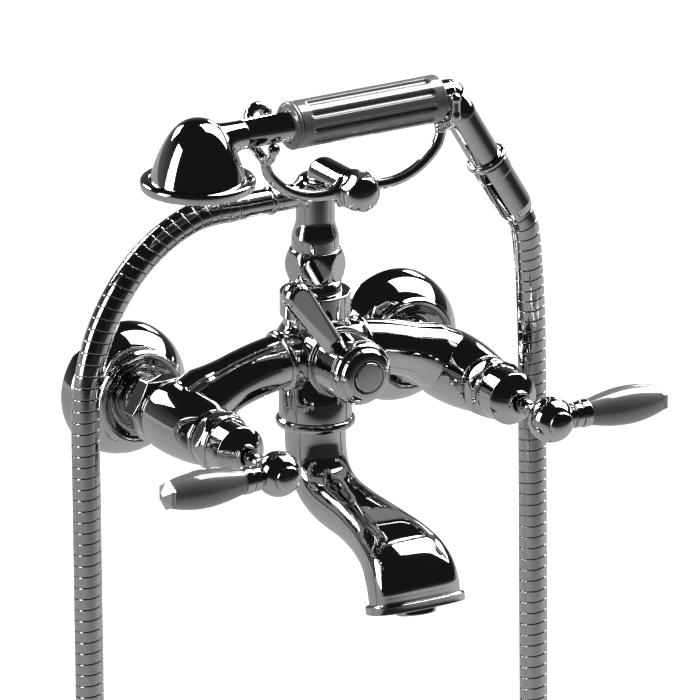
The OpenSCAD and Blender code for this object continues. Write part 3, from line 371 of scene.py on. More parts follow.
def axes(origin, z, x):
    """A place for a piece: its origin, and its x, y and z directions, with z along the piece's own axis."""
    z = np.asarray(z, float) / np.linalg.norm(z)
    x = np.asarray(x, float) - (np.asarray(x, float) @ z) * z
    x = x / np.linalg.norm(x)
    return np.asarray(origin, float), x, np.cross(z, x), z


def turned(line, place, n=96, ring=False):
    """Turns an outline about its axis: at angle a the point lies r cos a and r sin a across, and d along it."""
    o, x, y, z = place
    a = np.linspace(0, 2 * math.pi, n, endpoint=False)
    round_ = np.cos(a)[:, None] * x + np.sin(a)[:, None] * y
    line = np.asarray(line, float)
    return shell(o + line[:, None, :1] * round_[None] + line[:, None, 1:2] * z, ring)


def arc(cx, cy, r, a0, a1, n=16):
    """Points on a circle from angle a0 to a1, in degrees."""
    a = np.radians(np.linspace(a0, a1, n))
    return np.stack([cx + r * np.cos(a), cy + r * np.sin(a)], 1)


def from_wall(x, z=0.0):
    """A place on the wall whose axis points into the room."""
    return axes((x, 0, z), (0, -1, 0), (1, 0, 0))


SIDES_OF = {"hot": -75.0, "cold": 75.0}
CENTRE_Z = 21.8
print("turning helpers ready")

# %% [markdown]
# ## Wall flanges and union nuts
# Each inlet is a plain sleeve. It passes a domed flange that hides the hole in the tiles, with a rolled bead at
# its rim and a shallow dish inside it. A hexagon nut clamps the valve barrel to the inlet. A hexagon is a turned
# outline whose radius is held under that of the six flats, with a soft minimum that eases its edges.

# %% Six-sided turning
def soft_min(a, b, k):
    """The smaller of two values, eased over a width k where they meet."""
    h = np.clip(k - np.abs(a - b), 0, None)
    return np.minimum(a, b) - h * h / (4 * k)


SECTOR = np.array([-30, -29.6, -29.2, -28.4, -27, -23, -16, -8, 0, 8, 16, 23, 27, 28.4, 29.2, 29.6])


def six_sided(line, flats, turn, place, ease=0.3, ring=False):
    """As turned, with the radius held under flats / 2 over the cosine of the angle from the nearest flat."""
    o, x, y, z = place
    line, flats = np.asarray(line, float), np.broadcast_to(flats, len(line))[:, None]
    a = (np.arange(6)[:, None] * 60 + SECTOR[None]).ravel()
    near = np.abs((a[None] - np.arange(6)[:, None] * 60 + 180) % 360 - 180)
    walls = np.sort(1 / np.cos(np.radians(np.minimum(near, 80))), axis=0)
    hexagon = flats / 2 * soft_min(walls[0], walls[1], 2 * ease / flats.max())[None]
    r = np.where(line[:, :1] < flats / 2 - ease, line[:, :1], soft_min(line[:, :1], hexagon, ease))
    w = np.radians(a + turn)
    round_ = np.cos(w)[:, None] * x + np.sin(w)[:, None] * y
    return shell(o + r[..., None] * round_[None] + line[:, None, 1:2] * z, ring)


def dense(line, step):
    """The same outline with points at most a step apart, for shapes that are cut by flats."""
    s = running(line)
    u = np.unique(np.concatenate([s, np.linspace(0, s[-1], int(s[-1] / step))]))
    u = u[np.concatenate([[True], np.diff(u) > 1e-4])]
    return np.stack([np.interp(u, s, line[:, k]) for k in range(2)], 1)

# %% Flanges and nuts
d = np.linspace(0, 19.2, 48)
dome = np.stack([32.5 * np.sqrt(1 - (d / 27) ** 2), d], 1)
bead_r = dome[-1, 0] - 1.6
t = np.linspace(0, 1, 16)[1:]
dish = np.stack([bead_r - 1.7 + (14.23 - bead_r + 1.7) * t, 19.6 - 3.4 * np.sin(np.pi / 2 * t)], 1)
d = np.linspace(13.4, 0, 24)
inner = np.stack([30.9 * np.sqrt(1 - (d / 25.4) ** 2), d], 1)
flange = np.vstack([dome, arc(bead_r, 19.6, 1.7, 4, 172, 24), dish, [(13.23, 16.2), (13.23, 13.4)], inner])
nut = dense(outline([(13.23, 32), (14.7, 32, 0.1), (17.7, 33.5), (17.7, 40.5), (14.7, 42, 0.1), (10.7, 42)]), 0.12)
nut = np.vstack([nut, [(10.7, 39.6), (13.23, 39.6)]])
sleeve = outline([(8, -13), (9.5, -13), (10.5, -12), (10.5, 0), (13.2, 0), (13.2, 35), (12.2, 36), (8, 36)])
for side, x in SIDES_OF.items():
    make_piece("inlet_sleeve_" + side, [turned(sleeve, from_wall(x), 96, True)], "polished_chrome",
               stands_for=("wall_union_" + side,))
    make_piece("flange_dome_" + side, [turned(flange, from_wall(x), 128, True)], "polished_chrome",
               stands_for=("wall_flange_" + side,))
    make_piece("clamp_nut_" + side, [six_sided(nut, 30, 30 if side == "hot" else 12, from_wall(x), 0.4, True)],
               "polished_chrome", stands_for=("union_nut_" + side,))

# %% [markdown]
# ## Body casting
# The body is cast in one piece: two long valve barrels that swell and taper, an arch that carries both arms, a
# ball at the centre with a boss in front, and the necks above and below. Each is a turned shape or a bar along
# an arc. The arms widen a little where they run into the barrels, as the fillet of a casting does.

# %% Bars along a line
def bar(line, radius, n=40, level=(0.0, 1.0, 0.0), tall=None):
    """Carries a circle along a line, square to it: c + r (a cos w + b sin w), with a square to `level` as well.
    `tall` gives another radius along a, so that the section becomes an ellipse."""
    line = np.asarray(line, float)
    t = np.gradient(line, axis=0)
    t /= np.linalg.norm(t, axis=1, keepdims=True)
    a = np.cross(t, level)
    a /= np.linalg.norm(a, axis=1, keepdims=True)
    b = np.cross(t, a)
    r = np.broadcast_to(radius, len(line))
    q = r if tall is None else np.broadcast_to(tall, len(line))
    w = np.linspace(0, 2 * math.pi, n, endpoint=False)
    p = (line[:, None] + (q[:, None] * np.cos(w))[..., None] * a[:, None]
         + (r[:, None] * np.sin(w))[..., None] * b[:, None])
    return shell(np.concatenate([line[:1, None] + 0 * p[:1], p, line[-1:, None] + 0 * p[-1:]]))


def ball(centre, r, n=64):
    """A sphere as a half circle turned about z."""
    return turned(arc(0, 0, r, -90, 90, n // 2), axes(centre, (0, 0, 1), (1, 0, 0)), n)


def bead(centre, z, ring_r, r, n=96):
    """A ring of round bar: a small circle turned about the axis z, ring_r away from it."""
    x = (1, 0, 0) if abs(np.asarray(z, float)[0]) < 0.9 else (0, 0, 1)
    return turned(arc(ring_r, 0, r, 0, 360, 25)[:-1], axes(centre, z, x), n, True)

# %% The casting
d = np.linspace(51.0, 87.5, 64)
swell = np.stack([17.4 - 152 + np.sqrt(152**2 - (d - 56) ** 2), d], 1)
barrel = np.vstack([[(0, 40.6), (10.5, 40.6), (10.5, 42.55)], arc(8.33, 51.4, 9, -76, -4, 20), swell,
                    arc(13.49, 87.5, 0.5, 15, 90, 5), [(0, 88)]])
ARCH_R = (75**2 + 19.5**2) / (2 * 19.5)
q = np.radians(np.linspace(-27, 27, 121))
arch = np.stack([ARCH_R * np.sin(q), np.full_like(q, -58), CENTRE_Z - ARCH_R + ARCH_R * np.cos(q)], 1)
arm = 13 + 2.4 * np.clip((np.abs(arch[:, 0]) - 46) / 15, 0, 1) ** 2
boss = outline([(0, 55), (16, 55), (16.4, 58), (16.4, 75.6, 0.3), (17.4, 76.2, 0.6), (17.4, 78, 0.6), (0, 78)])
neck = outline([(0, -11.1), (17.5, -11.1, 0.8), (17.5, 21.8), (15.5, 22.5), (15.5, 39.2, 0.3), (0, 39.2)])
upright = axes((0, -55, 0), (0, 0, 1), (1, 0, 0))
root = np.radians(7.6)
beads = [bead((s * ARCH_R * math.sin(root), -58, CENTRE_Z - ARCH_R + ARCH_R * math.cos(root)),
              (s * math.cos(root), 0, -math.sin(root)), 12.8, 2.0) for s in (-1, 1)]
make_piece("body_casting", [turned(barrel, from_wall(-75), 128), turned(barrel, from_wall(75), 128),
                            bar(arch, arm, 96), ball((0, -55, CENTRE_Z), 20.5, 96),
                            turned(boss, from_wall(0, CENTRE_Z), 128), turned(neck, upright, 128), *beads],
           "polished_chrome", stands_for=("mixer_body",))

# %% [markdown]
# ## Valves
# In front of each barrel sits the headwork. Its rim is turned to a low crown before the six flats are milled, so
# each flat comes out as a lens. A straight cover with a domed front hides the rest, and a small collar in the
# dome lets the spindle through.

# %% Headworks, covers and spindles
k = np.linspace(-1, 1, 73)
c = np.linspace(0, 1, 13)[1:]
crown = np.vstack([[(0, 88), (13.2, 88), (13.4, 88.2)], np.stack([15.5 - 1.6 * k**2, 94 + 3.6 * k], 1),
                   np.stack([13.9 - (2 * c - c * c), 97.6 + 3.4 * c], 1), [(0, 101)]])
k = np.linspace(0, 1, 40)
r = 12.5 - 6.9 * k
front = np.stack([r, 112 + 6 * (1 - (r / 12.8) ** 2.2)], 1)
cover = np.vstack([outline([(9.03, 101), (12.3, 101), (12.3, 101.6, 0.1), (12.8, 101.9, 0.15), (12.8, 111.6)]),
                   arc(12.4, 111.75, 0.4, 0, 45, 6), front,
                   outline([(5.6, 117.1), (5.6, 119, 0.5), (4.3, 119, 0.15), (4.3, 112), (9.03, 112)])])
rod = outline([(0, 74), (3.95, 74), (3.95, 141.5, 0.3), (0, 141.5)])
for side, x in SIDES_OF.items():
    make_piece("headwork_hexagon_" + side, [six_sided(crown, 28, 31 if side == "hot" else 6, from_wall(x), 0.4)],
               "polished_chrome", stands_for=("headwork_" + side,))
    make_piece("domed_cover_" + side, [turned(cover, from_wall(x), 128, True)], "polished_chrome",
               stands_for=("bonnet_" + side,))
    make_piece("plated_spindle_" + side, [turned(rod, from_wall(x), 48)], "polished_chrome", side + "_handle",
               ("spindle_" + side,))

# %% [markdown]
# ## Lever handles
# A handle is a polished ball on the spindle, cut flat in front for the low cap over its screw. The lever leaves
# the ball through two rings, swells into a dark lacquered grip like a slim egg, and ends in a six-sided tip.

# %% Handles
BALL_D, BALL_R = 146.5, 11.0
handle = np.vstack([outline([(0, 134.3), (5.5, 134.3, 0.6), (5.5, 136.95)]), arc(0, BALL_D, BALL_R, -60, 51.5, 60),
                    [(6.74, 155.15), (6.62, 155.2), (0, 155.2)]])
cap = np.vstack([outline([(0, 155.0), (6.4, 155.0), (6.4, 155.7)]),
                 arc(0, 0, 1, 0, 90, 30) * [6.4, 3.0] + [0, 155.7]])
stem = outline([(0, 9), (4.6, 9), (4.6, 11.6, 0.1), (6.2, 11.6, 0.6), (6.2, 15.1, 0.3), (5.4, 15.2, 0.1),
                (5.4, 15.6, 0.1), (6.7, 15.7, 0.6), (6.7, 20, 0.6), (0, 20)])
k = np.linspace(0, 1, 41)
grip = np.vstack([[(0, 20), (6.1, 20)], np.stack([6.2 + 3.1 * np.sin(np.pi / 2 * k), 20.05 + 21.29 * k], 1),
                  np.stack([9.3 - 2.7 * k[1:] ** 2, 41.34 + 17.3 * k[1:]], 1),
                  [(6.5, 58.75), (6.3, 58.8), (0, 58.8)]])
tip = np.array([(58.8, 0.0), (58.8, 11.6), (58.9, 11.9), (59.1, 12), (60.95, 12), (61.15, 11.9), (61.35, 11.4),
                (63.6, 3.2), (63.85, 2.4), (63.97, 1.6), (64, 0.8), (64, 0.0)])
for side, x in SIDES_OF.items():
    lever = axes((x, -BALL_D, 0), (math.copysign(1, x), 0, 0), (0, 0, 1))
    moving = side + "_handle"
    make_piece("handle_ball_round_" + side, [turned(handle, from_wall(x), 96)], "polished_chrome", moving,
               ("handle_ball_" + side,))
    make_piece("screw_cover_" + side, [turned(cap, from_wall(x), 64)], "polished_chrome", moving,
               ("handle_cap_" + side,))
    make_piece("lever_rings_" + side, [turned(stem, lever, 64)], "polished_chrome", moving, ("lever_stem_" + side,))
    make_piece("egg_grip_" + side, [turned(grip, lever, 96)], "satin_grip", moving, ("lever_grip_" + side,))
    make_piece("six_sided_tip_" + side, [six_sided(tip[:, ::-1], np.maximum(tip[:, 1], 1e-3), 30, lever, 0.15)],
               "polished_chrome", moving, ("lever_tip_" + side,))

# %% [markdown]
# ## Diverter
# The knob on the front boss sends the water to the spout or to the hand shower. Its lever is a taper that
# swells to a round end, filed flat on the side that faces the room.

# %% Knob, cap and lever
k = np.linspace(0, 1, 25)[1:] * np.pi / 2
knob = np.vstack([outline([(0, 78.2), (15.8, 78.2, 0.5), (15.8, 95.4, 0.3), (15.2, 95.8, 0.2), (15.5, 96.4)]),
                  np.stack([13.2 + 2.3 * np.cos(k), 96.4 + 4.2 * np.sin(k)], 1),
                  np.stack([9.2 + 3.8 * np.cos(k), 100.8 + 3.4 * np.sin(k)], 1),
                  outline([(9.0, 104.3), (8.3, 104.3, 0.2), (7.63, 103.4, 0.1), (7.63, 100.8), (0, 100.8)])])
lid = np.vstack([[(0, 100.7), (7.3, 100.7), (7.3, 103.9)],
                 np.stack([6.6 + 0.7 * np.cos(k), 103.9 + 0.9 * np.sin(k)], 1),
                 [(4.0, 104.85), (0, 104.9)]])
lean = math.radians(36)
arm_axes = axes((0, -87, CENTRE_Z), (-math.sin(lean), 0, math.cos(lean)), (1, 0, 0))
taper = dense(np.vstack([[(0, 12), (5.0, 12), (5.05, 14)], arc(0, 50, 7.2, -6, 90, 40)]), 0.6)


def flat_fronted(line, depth, place, n=120):
    """As turned, with the radius held under depth over the sine of the angle on the front side."""
    o, x, y, z = place
    w = np.linspace(0, 2 * math.pi, n, endpoint=False)
    wall = depth / np.maximum(-np.sin(w), 0.05)
    r = np.where(line[:, :1] < depth - 0.4, line[:, :1], soft_min(line[:, :1], wall[None], 0.35))
    round_ = np.cos(w)[:, None] * x + np.sin(w)[:, None] * y
    return shell(o + r[..., None] * round_[None] + line[:, None, 1:2] * z)


make_piece("diverter_round_knob", [turned(knob, from_wall(0, CENTRE_Z), 128)], "polished_chrome", "diverter_handle",
           ("diverter_knob",))
make_piece("diverter_lid", [turned(lid, from_wall(0, CENTRE_Z), 96)], "polished_chrome", "diverter_handle",
           ("diverter_cap",))
make_piece("diverter_paddle", [flat_fronted(taper, 5.2, arm_axes)], "polished_chrome", "diverter_handle",
           ("diverter_lever",))

# %% [markdown]
# ## Spout
# The spout is a casting that bends forward out of the neck and spreads from a round pipe to a broad flat mouth
# with a rim. Its section is a superellipse, a circle that turns towards a rounded box, and its half width, half
# thickness and squareness run along the middle line by smooth tables.

# %% The spout's sections
def ease_through(t, table):
    """A smooth curve through a table that never swings past its values: cubic between points, with each slope the
    harmonic mean of its two neighbours, or zero at a turn."""
    x, y = np.array(table, float).T
    h, m = np.diff(x), np.diff(y) / np.diff(x)
    s = np.zeros_like(y)
    both = m[:-1] * m[1:] > 0
    s[1:-1][both] = 2 * m[:-1][both] * m[1:][both] / (m[:-1] + m[1:])[both]
    i = np.clip(np.searchsorted(x, t, side="right") - 1, 0, len(h) - 1)
    u = (t - x[i]) / h[i]
    return (y[i] * (1 + 2 * u) * (1 - u) ** 2 + s[i] * h[i] * u * (1 - u) ** 2
            + y[i + 1] * u * u * (3 - 2 * u) + s[i + 1] * h[i] * u * u * (u - 1))


SPOUT = [(55, -13.1), (55, -24), (57.5, -34.5), (64, -42.8), (74, -47.4), (87, -49.4), (100, -50.4), (113, -52),
         (125, -54.4), (135, -58.8), (141.5, -65.8), (145, -73.4), (147, -80)]
spout_line = curve_through(SPOUT, 40)
spout_run = running(spout_line)
total = spout_run[-1]
s_rows = np.unique(np.concatenate([np.linspace(0, total - 8, 120), np.linspace(total - 8, total, 60)]))
mid = np.stack([np.interp(s_rows, spout_run, spout_line[:, k]) for k in range(2)], 1)
head = np.gradient(mid, s_rows, axis=0)
turn = np.radians(13.9)
head = np.where((s_rows > total - 5)[:, None], (math.sin(turn), -math.cos(turn)), head)
head /= np.linalg.norm(head, axis=1, keepdims=True)
u = s_rows / total
half_wide = ease_through(u, [(0, 14.6), (0.28, 14.2), (0.46, 14.6), (0.6, 16.4), (0.75, 19.6), (0.88, 22.2),
                             (1, 22.9)])
half_deep = ease_through(u, [(0, 14.6), (0.1, 14.6), (0.22, 13.6), (0.38, 11.6), (0.6, 10.4), (0.8, 10.8), (1, 11.2)])
square = ease_through(u, [(0, 2), (0.2, 2.05), (0.5, 2.6), (1, 2.9)])
print("spout line", round(total, 1), "mm")

# %% The spout's surface
back_s = total - s_rows
rim = np.select([back_s > 4.6, back_s > 3.9, back_s > 0.5],
                [0.0, 2.0 * np.clip((4.6 - back_s) / 0.7, 0, 1) ** 0.5, 2.0],
                2.0 - 0.5 * (1 - np.sqrt(np.clip(1 - ((0.5 - back_s) / 0.5) ** 2, 0, 1))))
mouth_bore = [(10.6, 0.0), (9.9, 0.4), (9.9, 5.0), (0.0, 5.0)]
end_mid, end_head = mid[-1], head[-1]
a_rows = np.concatenate([[0.0], half_wide + rim, [b for b, _ in mouth_bore]])
b_rows = np.concatenate([[0.0], half_deep + rim * 0.75, [b for b, _ in mouth_bore]])
e_rows = np.concatenate([[2.0], square, [2.0] * 4])
m_rows = np.vstack([mid[:1], mid, [end_mid - up_ * end_head for _, up_ in mouth_bore]])
h_rows = np.vstack([head[:1], head, [end_head] * 4])
w = np.linspace(0, 2 * math.pi, 144, endpoint=False)
cu = np.sign(np.cos(w)) * np.abs(np.cos(w)) ** (2 / e_rows[:, None])
cv = np.sign(np.sin(w)) * np.abs(np.sin(w)) ** (2 / e_rows[:, None])
FULLER = [(0, 0), (4, 0.2), (9, 0.85), (14, 1), (20, 0.75), (32, 0.12), (44, 0), (total + 1, 0)]
full = 3.8 * ease_through(np.concatenate([[total], back_s, [0.0] * 4]), FULLER)
across, through = a_rows[:, None] * cu, (b_rows[:, None] + full[:, None] * (cv > 0)) * cv
spout_grid = np.stack([across, through * h_rows[:, 1:] - m_rows[:, :1], m_rows[:, 1:] + through * h_rows[:, :1]], -1)
make_piece("cast_spout", [shell(spout_grid)], "polished_chrome", stands_for=("spout",))

# %% [markdown]
# ## Spout ring and aerator
# A half-round ring covers the joint between neck and spout. The aerator is a turned shell screwed into the
# mouth, and its dark insert shows from below.

# %% Ring and aerator shell
ring_line = arc(16.7, -13.3, 2.4, 95, -180, 40)
ring_line = np.vstack([ring_line[ring_line[:, 0] >= 14.9], [(14.9, -13.3), (14.9, -11.1)]])
make_piece("spout_joint_ring", [turned(np.minimum(ring_line, [99, -11.15]), upright, 128, True)], "polished_chrome",
           stands_for=("spout_ring",))
mouth = axes((0, -147, -80), (0, -math.sin(turn), -math.cos(turn)), (1, 0, 0))
shell_line = outline([(8.2, -4.5), (9.6, -4.5), (9.6, 3, 0.8), (8.2, 3, 0.3), (8.2, 0)])
make_piece("aerator_ring", [turned(shell_line, mouth, 96, True)], "polished_chrome", stands_for=("aerator_shell",))

# %% [markdown]
# ## Column
# Above the body a collar, a ball-cornered nut and a slim column carry the cradle. The column has a flared foot
# and a low domed top, a hub that points into the room, and a short outlet to the left for the hose.

# %% Collar, nut and column
collar = outline([(0, 39.25), (17, 39.25, 0.8), (17, 51.3, 0.8), (12.4, 51.3, 0.3), (12.4, 56.6),
                  (10, 56.6), (0, 56.6)])
globe = dense(np.vstack([[(0, -7.8)], arc(0, 0, 14.4, -32.8, 32.8, 60), [(8, 7.8), (8, 12.5), (0, 12.5)]]), 0.2)
globe = globe + [0, 64.4]
make_piece("column_collar", [turned(collar, upright, 128)], "polished_chrome", stands_for=("outlet_collar",))
make_piece("column_globe_nut", [six_sided(globe, 2 * math.sqrt(14.4**2 - 46), 0, upright, 0.3)], "polished_chrome",
           stands_for=("column_nut",))
HUB_Z = 111.4
k = np.linspace(0, 1, 31)
skirt = np.stack([11.4 - 1.05 * (1 - np.cos(np.pi * k)), 77.2 + 10 * k], 1)
column = np.vstack([outline([(0, 72.2), (11.4, 72.2, 0.4), (11.4, 77.2)]), skirt[1:],
                    arc(4.3, 104.4, 5, 0, 90, 20), [(0, 109.4)]])
hub = np.vstack([[(0, 57)], arc(2.1, 63, 6, -90, 0, 24), outline([(8.1, 63.5), (8.1, 87.2, 0.25), (0, 87.2)])])
spur = outline([(0, 0), (7.4, 0), (7.4, 8.3, 0.3), (5.7, 10.7, 0.4), (5.7, 11.3), (3.8, 11.3), (3.8, 20), (0, 20)])
outlet = axes((0, -55, 100), (-1, 0, 0), (0, 0, 1))
make_piece("column_stem", [turned(column, upright, 96), turned(hub, from_wall(0, HUB_Z), 96),
                           turned(spur, outlet, 64)],
           "polished_chrome", stands_for=("cradle_stem",))

# %% [markdown]
# ## Cradle
# A rod is bent into a bow on each side of an eye, which a domed cap nut clamps to the hub. Each end of the bow
# forks into two prongs with ball ends that hold the hand shower. The rod thickens towards the eye like a forging.

# %% Bow, forks and cap nut
BOW_Y = -90.0
big = np.radians(np.linspace(0, 50, 30))
small = np.radians(np.linspace(50, 90, 26))[1:]
flat = 48 - 36 * math.sin(big[-1]) - 14 * (1 - math.sin(big[-1]))
jx, jz = flat + 22 * math.sin(big[-1]), 36 - 22 * math.cos(big[-1])
half = np.vstack([np.stack([np.linspace(0, flat, 20)[:-1], np.zeros(19)], 1),
                  np.stack([flat + 36 * np.sin(big), 36 - 36 * np.cos(big)], 1),
                  np.stack([jx + 14 * np.sin(small), jz - 14 * np.cos(small)], 1)])
bow_x = np.concatenate([-half[:0:-1, 0], half[:, 0]])
bow_z = np.concatenate([half[:0:-1, 1], half[:, 1]])
bow_line = np.stack([bow_x, np.full_like(bow_x, BOW_Y), HUB_Z + bow_z], 1)
near_eye = np.clip((15.6 - np.abs(bow_x)) / 8, 0, 1)
tall = 2.6 + 8 * (1 - np.sqrt(1 - np.minimum(near_eye, 0.93) ** 2))
eye = outline([(0, -2.8), (9.4, -2.8, 0.5), (9.4, 2.8, 0.5), (0, 2.8)])
eye_axes = axes((0, BOW_Y, HUB_Z), (0, -1, 0), (1, 0, 0))
base = HUB_Z + half[-1, 1]


def prong(points, r, end_r):
    """A rod through points with a ball at its free end."""
    line = curve_through(points, 16)
    return [bar(line, r, 32, (1.0, 0.02, 0.01)), ball(points[-1], end_r, 40)]


back_y = -90 + 11.25
left_x, right_x = -50.7, 49.45
k = np.radians(np.linspace(180, 22, 13))
curl = [(left_x + 4.8 + 4.8 * math.cos(a), back_y, 152.2 + 4.8 * math.sin(a)) for a in k]
forks = [*prong([(-48, -90, base), (-48, -94, base + 2.2), (-48, -97.6, 141.4)], 2.2, 2.9),
         *prong([(-48, -90, base), (-49.6, -84, base + 4.4), (left_x, back_y, base + 9), (left_x, back_y, 148)]
                + curl, 2.4, 3.1),
         *prong([(48, -90, base), (49, -96, base + 4), (right_x, -100.85, base + 8), (right_x, -100.85, 145),
                 (right_x, -100.85, 150.8)], 2.4, 2.8),
         *prong([(48, -90, base), (48.4, -86, base + 3.6), (48.75, -81.2, 141.2)], 2.3, 2.8)]
make_piece("cradle_bow_rod", [bar(bow_line, 2.62, 48, (0.0, 1.0, 0.0), tall), turned(eye, eye_axes, 96),
                              ball((-48, -90, base), 2.9, 48), ball((48, -90, base), 2.9, 48), *forks],
           "polished_chrome", stands_for=("cradle_bow",))
dome_nut = dense(np.vstack([[(0, 92.8), (9.4, 92.8), (9.4, 93.8), (9.4, 97.6)],
                            np.stack([9.4 * np.cos(np.radians(np.linspace(4, 90, 60))),
                                      97.6 + 6.4 * np.sin(np.radians(np.linspace(4, 90, 60)))], 1)]), 0.15)
flats = np.where(dome_nut[:, 1] < 93.85, 2 * 9.4 * 1.2, 2 * 9.4 * math.cos(math.radians(26)))
make_piece("domed_cap_nut", [six_sided(dome_nut, flats, 14, from_wall(0, HUB_Z), 0.25)], "polished_chrome",
           stands_for=("cradle_cap",))

# %% [markdown]
# ## Hose nuts
# A ringed nut joins the hose to the column, and a longer ferrule joins it to the elbow of the hand shower.
# Both are plain turned pieces: the ringed nut stays with the mixer and the ferrule moves with the hand shower.

# %% Nuts at both ends of the hose
low_nut = np.vstack([outline([(3.83, 11.65), (5.9, 11.65, 0.3), (6, 20, 0.1), (5.75, 20.3, 0.1),
                              (6, 20.6, 0.1), (6, 23.4)]),
                     arc(5.6, 25.2, 1.4, -70, 70, 16),
                     outline([(6, 27.0), (6.1, 39.3, 0.1), (6.5, 39.7, 0.1), (6.6, 43.7, 0.4), (5.0, 43.7),
                              (5.0, 36), (3.83, 36)])])
leg = axes((52.4, -90, 148.8), (math.sin(math.radians(149)), 0, math.cos(math.radians(149))), (0, 1, 0))
ferrule = np.vstack([[(6.03, 39)], arc(8.6, 40.5, 1.5, -90, 90, 20),
                     outline([(8.8, 42.2), (9, 43, 0.2), (9, 49, 0.3), (8.6, 49.6, 0.2), (8.6, 70, 0.8),
                              (7.6, 74, 0.4), (6.9, 74), (6.9, 62), (6.03, 62)])])
low_piece = make_piece("hose_nut_ringed", [turned(low_nut, outlet, 96, True)], "polished_chrome",
                       stands_for=("hose_nut_lower",))
up_piece = make_piece("hose_ferrule", [turned(ferrule, leg, 96, True)], "polished_chrome", "handset",
                      ("hose_nut_upper",))

# %% [markdown]
# ## Hand shower
# A bell over a rolled lip holds the spray plate. A short neck joins the bell to the tube, a fluted satin grip
# slides over the tube, and an elbow with a round knuckle turns the water down into the hose. The flutes are
# round-ended channels: their depth is that of a ball-nosed cutter that runs along the grip.

# %% Bell, lip and neck
def bell_r(h):
    """Radius of the bell at a height over its lip: 23.1 (1 - (h / 31.5)^1.15)^0.42, an ogive with a blunt top."""
    return 23.1 * np.clip(1 - (np.clip(h, 0, None) / 31.5) ** 1.15, 0, 1) ** 0.42


h = 31.5 * np.sin(np.radians(np.linspace(0, 90, 96)))
bell_out = np.stack([bell_r(h), h], 1)
bell_in = np.stack([np.clip(bell_r(h[::-3] / 0.93) - 2, 0, None), h[::-3]], 1)[2:]
bell_line = np.vstack([bell_out, [(0.0, bell_in[0, 1])], bell_in])
rose = axes((-85, -90, 129.2), (0, 0, 1), (1, 0, 0))
along = axes((-85, -90, 148.8), (1, 0, 0), (0, 0, 1))
a = np.linspace(0, 2 * math.pi, 96, endpoint=False)
k = np.linspace(0, 1, 25)[:, None]
flare_r = 7 + 1.5 * (1 - k) ** 3 + 0 * a
root = np.sqrt(np.clip(bell_r(19.6 + 9.6 * np.cos(a)) ** 2 - (9.6 * np.sin(a)) ** 2, 9, None)) - 0.4
reach = root[None] + (24.5 - root[None]) * k
ring_ = np.cos(a)[:, None] * along[1] + np.sin(a)[:, None] * along[2]
neck_grid = along[0] + flare_r[..., None] * ring_[None] + reach[..., None] * along[3]
neck_grid = np.concatenate([(along[0] + 3 * along[3])[None, None] + 0 * neck_grid[:1], neck_grid,
                            (along[0] + 24.5 * along[3])[None, None] + 0 * neck_grid[:1]])
w = np.linspace(0, 2 * math.pi, 64, endpoint=False)
roll = np.stack([np.sign(np.cos(w)) * np.abs(np.cos(w)) ** 0.66, np.sign(np.sin(w)) * np.abs(np.sin(w)) ** 0.66], 1)
lean_in = np.radians(-8)
lip = 2.75 * roll @ [[math.cos(lean_in), math.sin(lean_in)], [-math.sin(lean_in), math.cos(lean_in)]] + [24.5, 0]
make_piece("rose_bell_round", [turned(bell_line, rose, 128, True), shell(neck_grid)], "polished_chrome", "handset",
           ("rose_bell",))
make_piece("rose_rolled_lip", [turned(lip, rose, 144, True)], "polished_chrome", "handset", ("rose_ring",))
pipe = outline([(0, 24), (7, 24), (7, 130.6), (0, 130.6)])
make_piece("handset_pipe", [turned(pipe, along, 96)], "polished_chrome", "handset", ("handset_tube",))

# %% Fluted grip
length, count = 81.6, 10
x = np.concatenate([np.linspace(0, 3.4, 24), np.linspace(3.4, length - 0.9, 150)[1:],
                    np.linspace(length - 0.9, length, 8)[1:]])
hull = np.where(x < 2.8, 10.2 + 1.4 * np.sqrt(np.clip(1 - ((x - 1.4) / 1.4) ** 2, 0, 1)), 11.4)
hull = np.where(x > length - 0.8, 10.6 + 0.8 * np.sqrt(np.clip(1 - ((x - length + 0.8) / 0.8) ** 2, 0, 1)), hull)
a = np.linspace(0, 2 * math.pi, 240, endpoint=False)
side = 11.4 * np.abs(a % (2 * math.pi / count) - math.pi / count)
past = np.maximum(0, np.maximum(10 - x, x - (length - 8)))
cut = np.clip(np.sqrt(np.clip(2.2**2 - side[None] ** 2 - past[:, None] ** 2, 0, None)) - 0.9, 0, None)
grip_r = hull[:, None] - cut
o, ax, ay, az = axes((-36, -90, 148.8), (1, 0, 0), (0, 0, 1))
spin = np.cos(a)[:, None] * ax + np.sin(a)[:, None] * ay
core = o + grip_r[..., None] * spin[None] + x[:, None, None] * az
ends = [o + r * spin[None] + at * az for r, at in ((7.03, 0.0), (7.03, length))]
grip_grid = np.concatenate([ends[0], core, ends[1]])
# Painted shade for the flutes: the colour darkens with the depth of the cut, fully at 1.3 mm.
depth = np.concatenate([np.zeros((1, 240)), np.clip(cut / 1.3, 0, 1), np.zeros((1, 240))])
make_piece("fluted_grip", [shell(grip_grid, True)], "satin_grip", "handset", ("handset_grip",), depth)

# %% Elbow
level = bar(np.stack([np.linspace(45.6, 52.4, 12), np.full(12, -90.0), np.full(12, 148.8)], 1), 8.0, 96)
sleeve = outline([(0, 0), (8.0, 0), (8.0, 12, 0.3), (7.7, 12.2, 0.1), (7.7, 39, 0.3), (0, 39)])
make_piece("handset_bend", [level, ball(leg[0], 8.0, 96), turned(sleeve, leg, 96)], "polished_chrome", "handset",
           ("handset_elbow",))

# %% [markdown]
# ## Pieces that stay as CAD
# Washers, discs, screws and the perforated plates are plain and mostly hidden, so the CAD solids stay and only
# take their finishes.

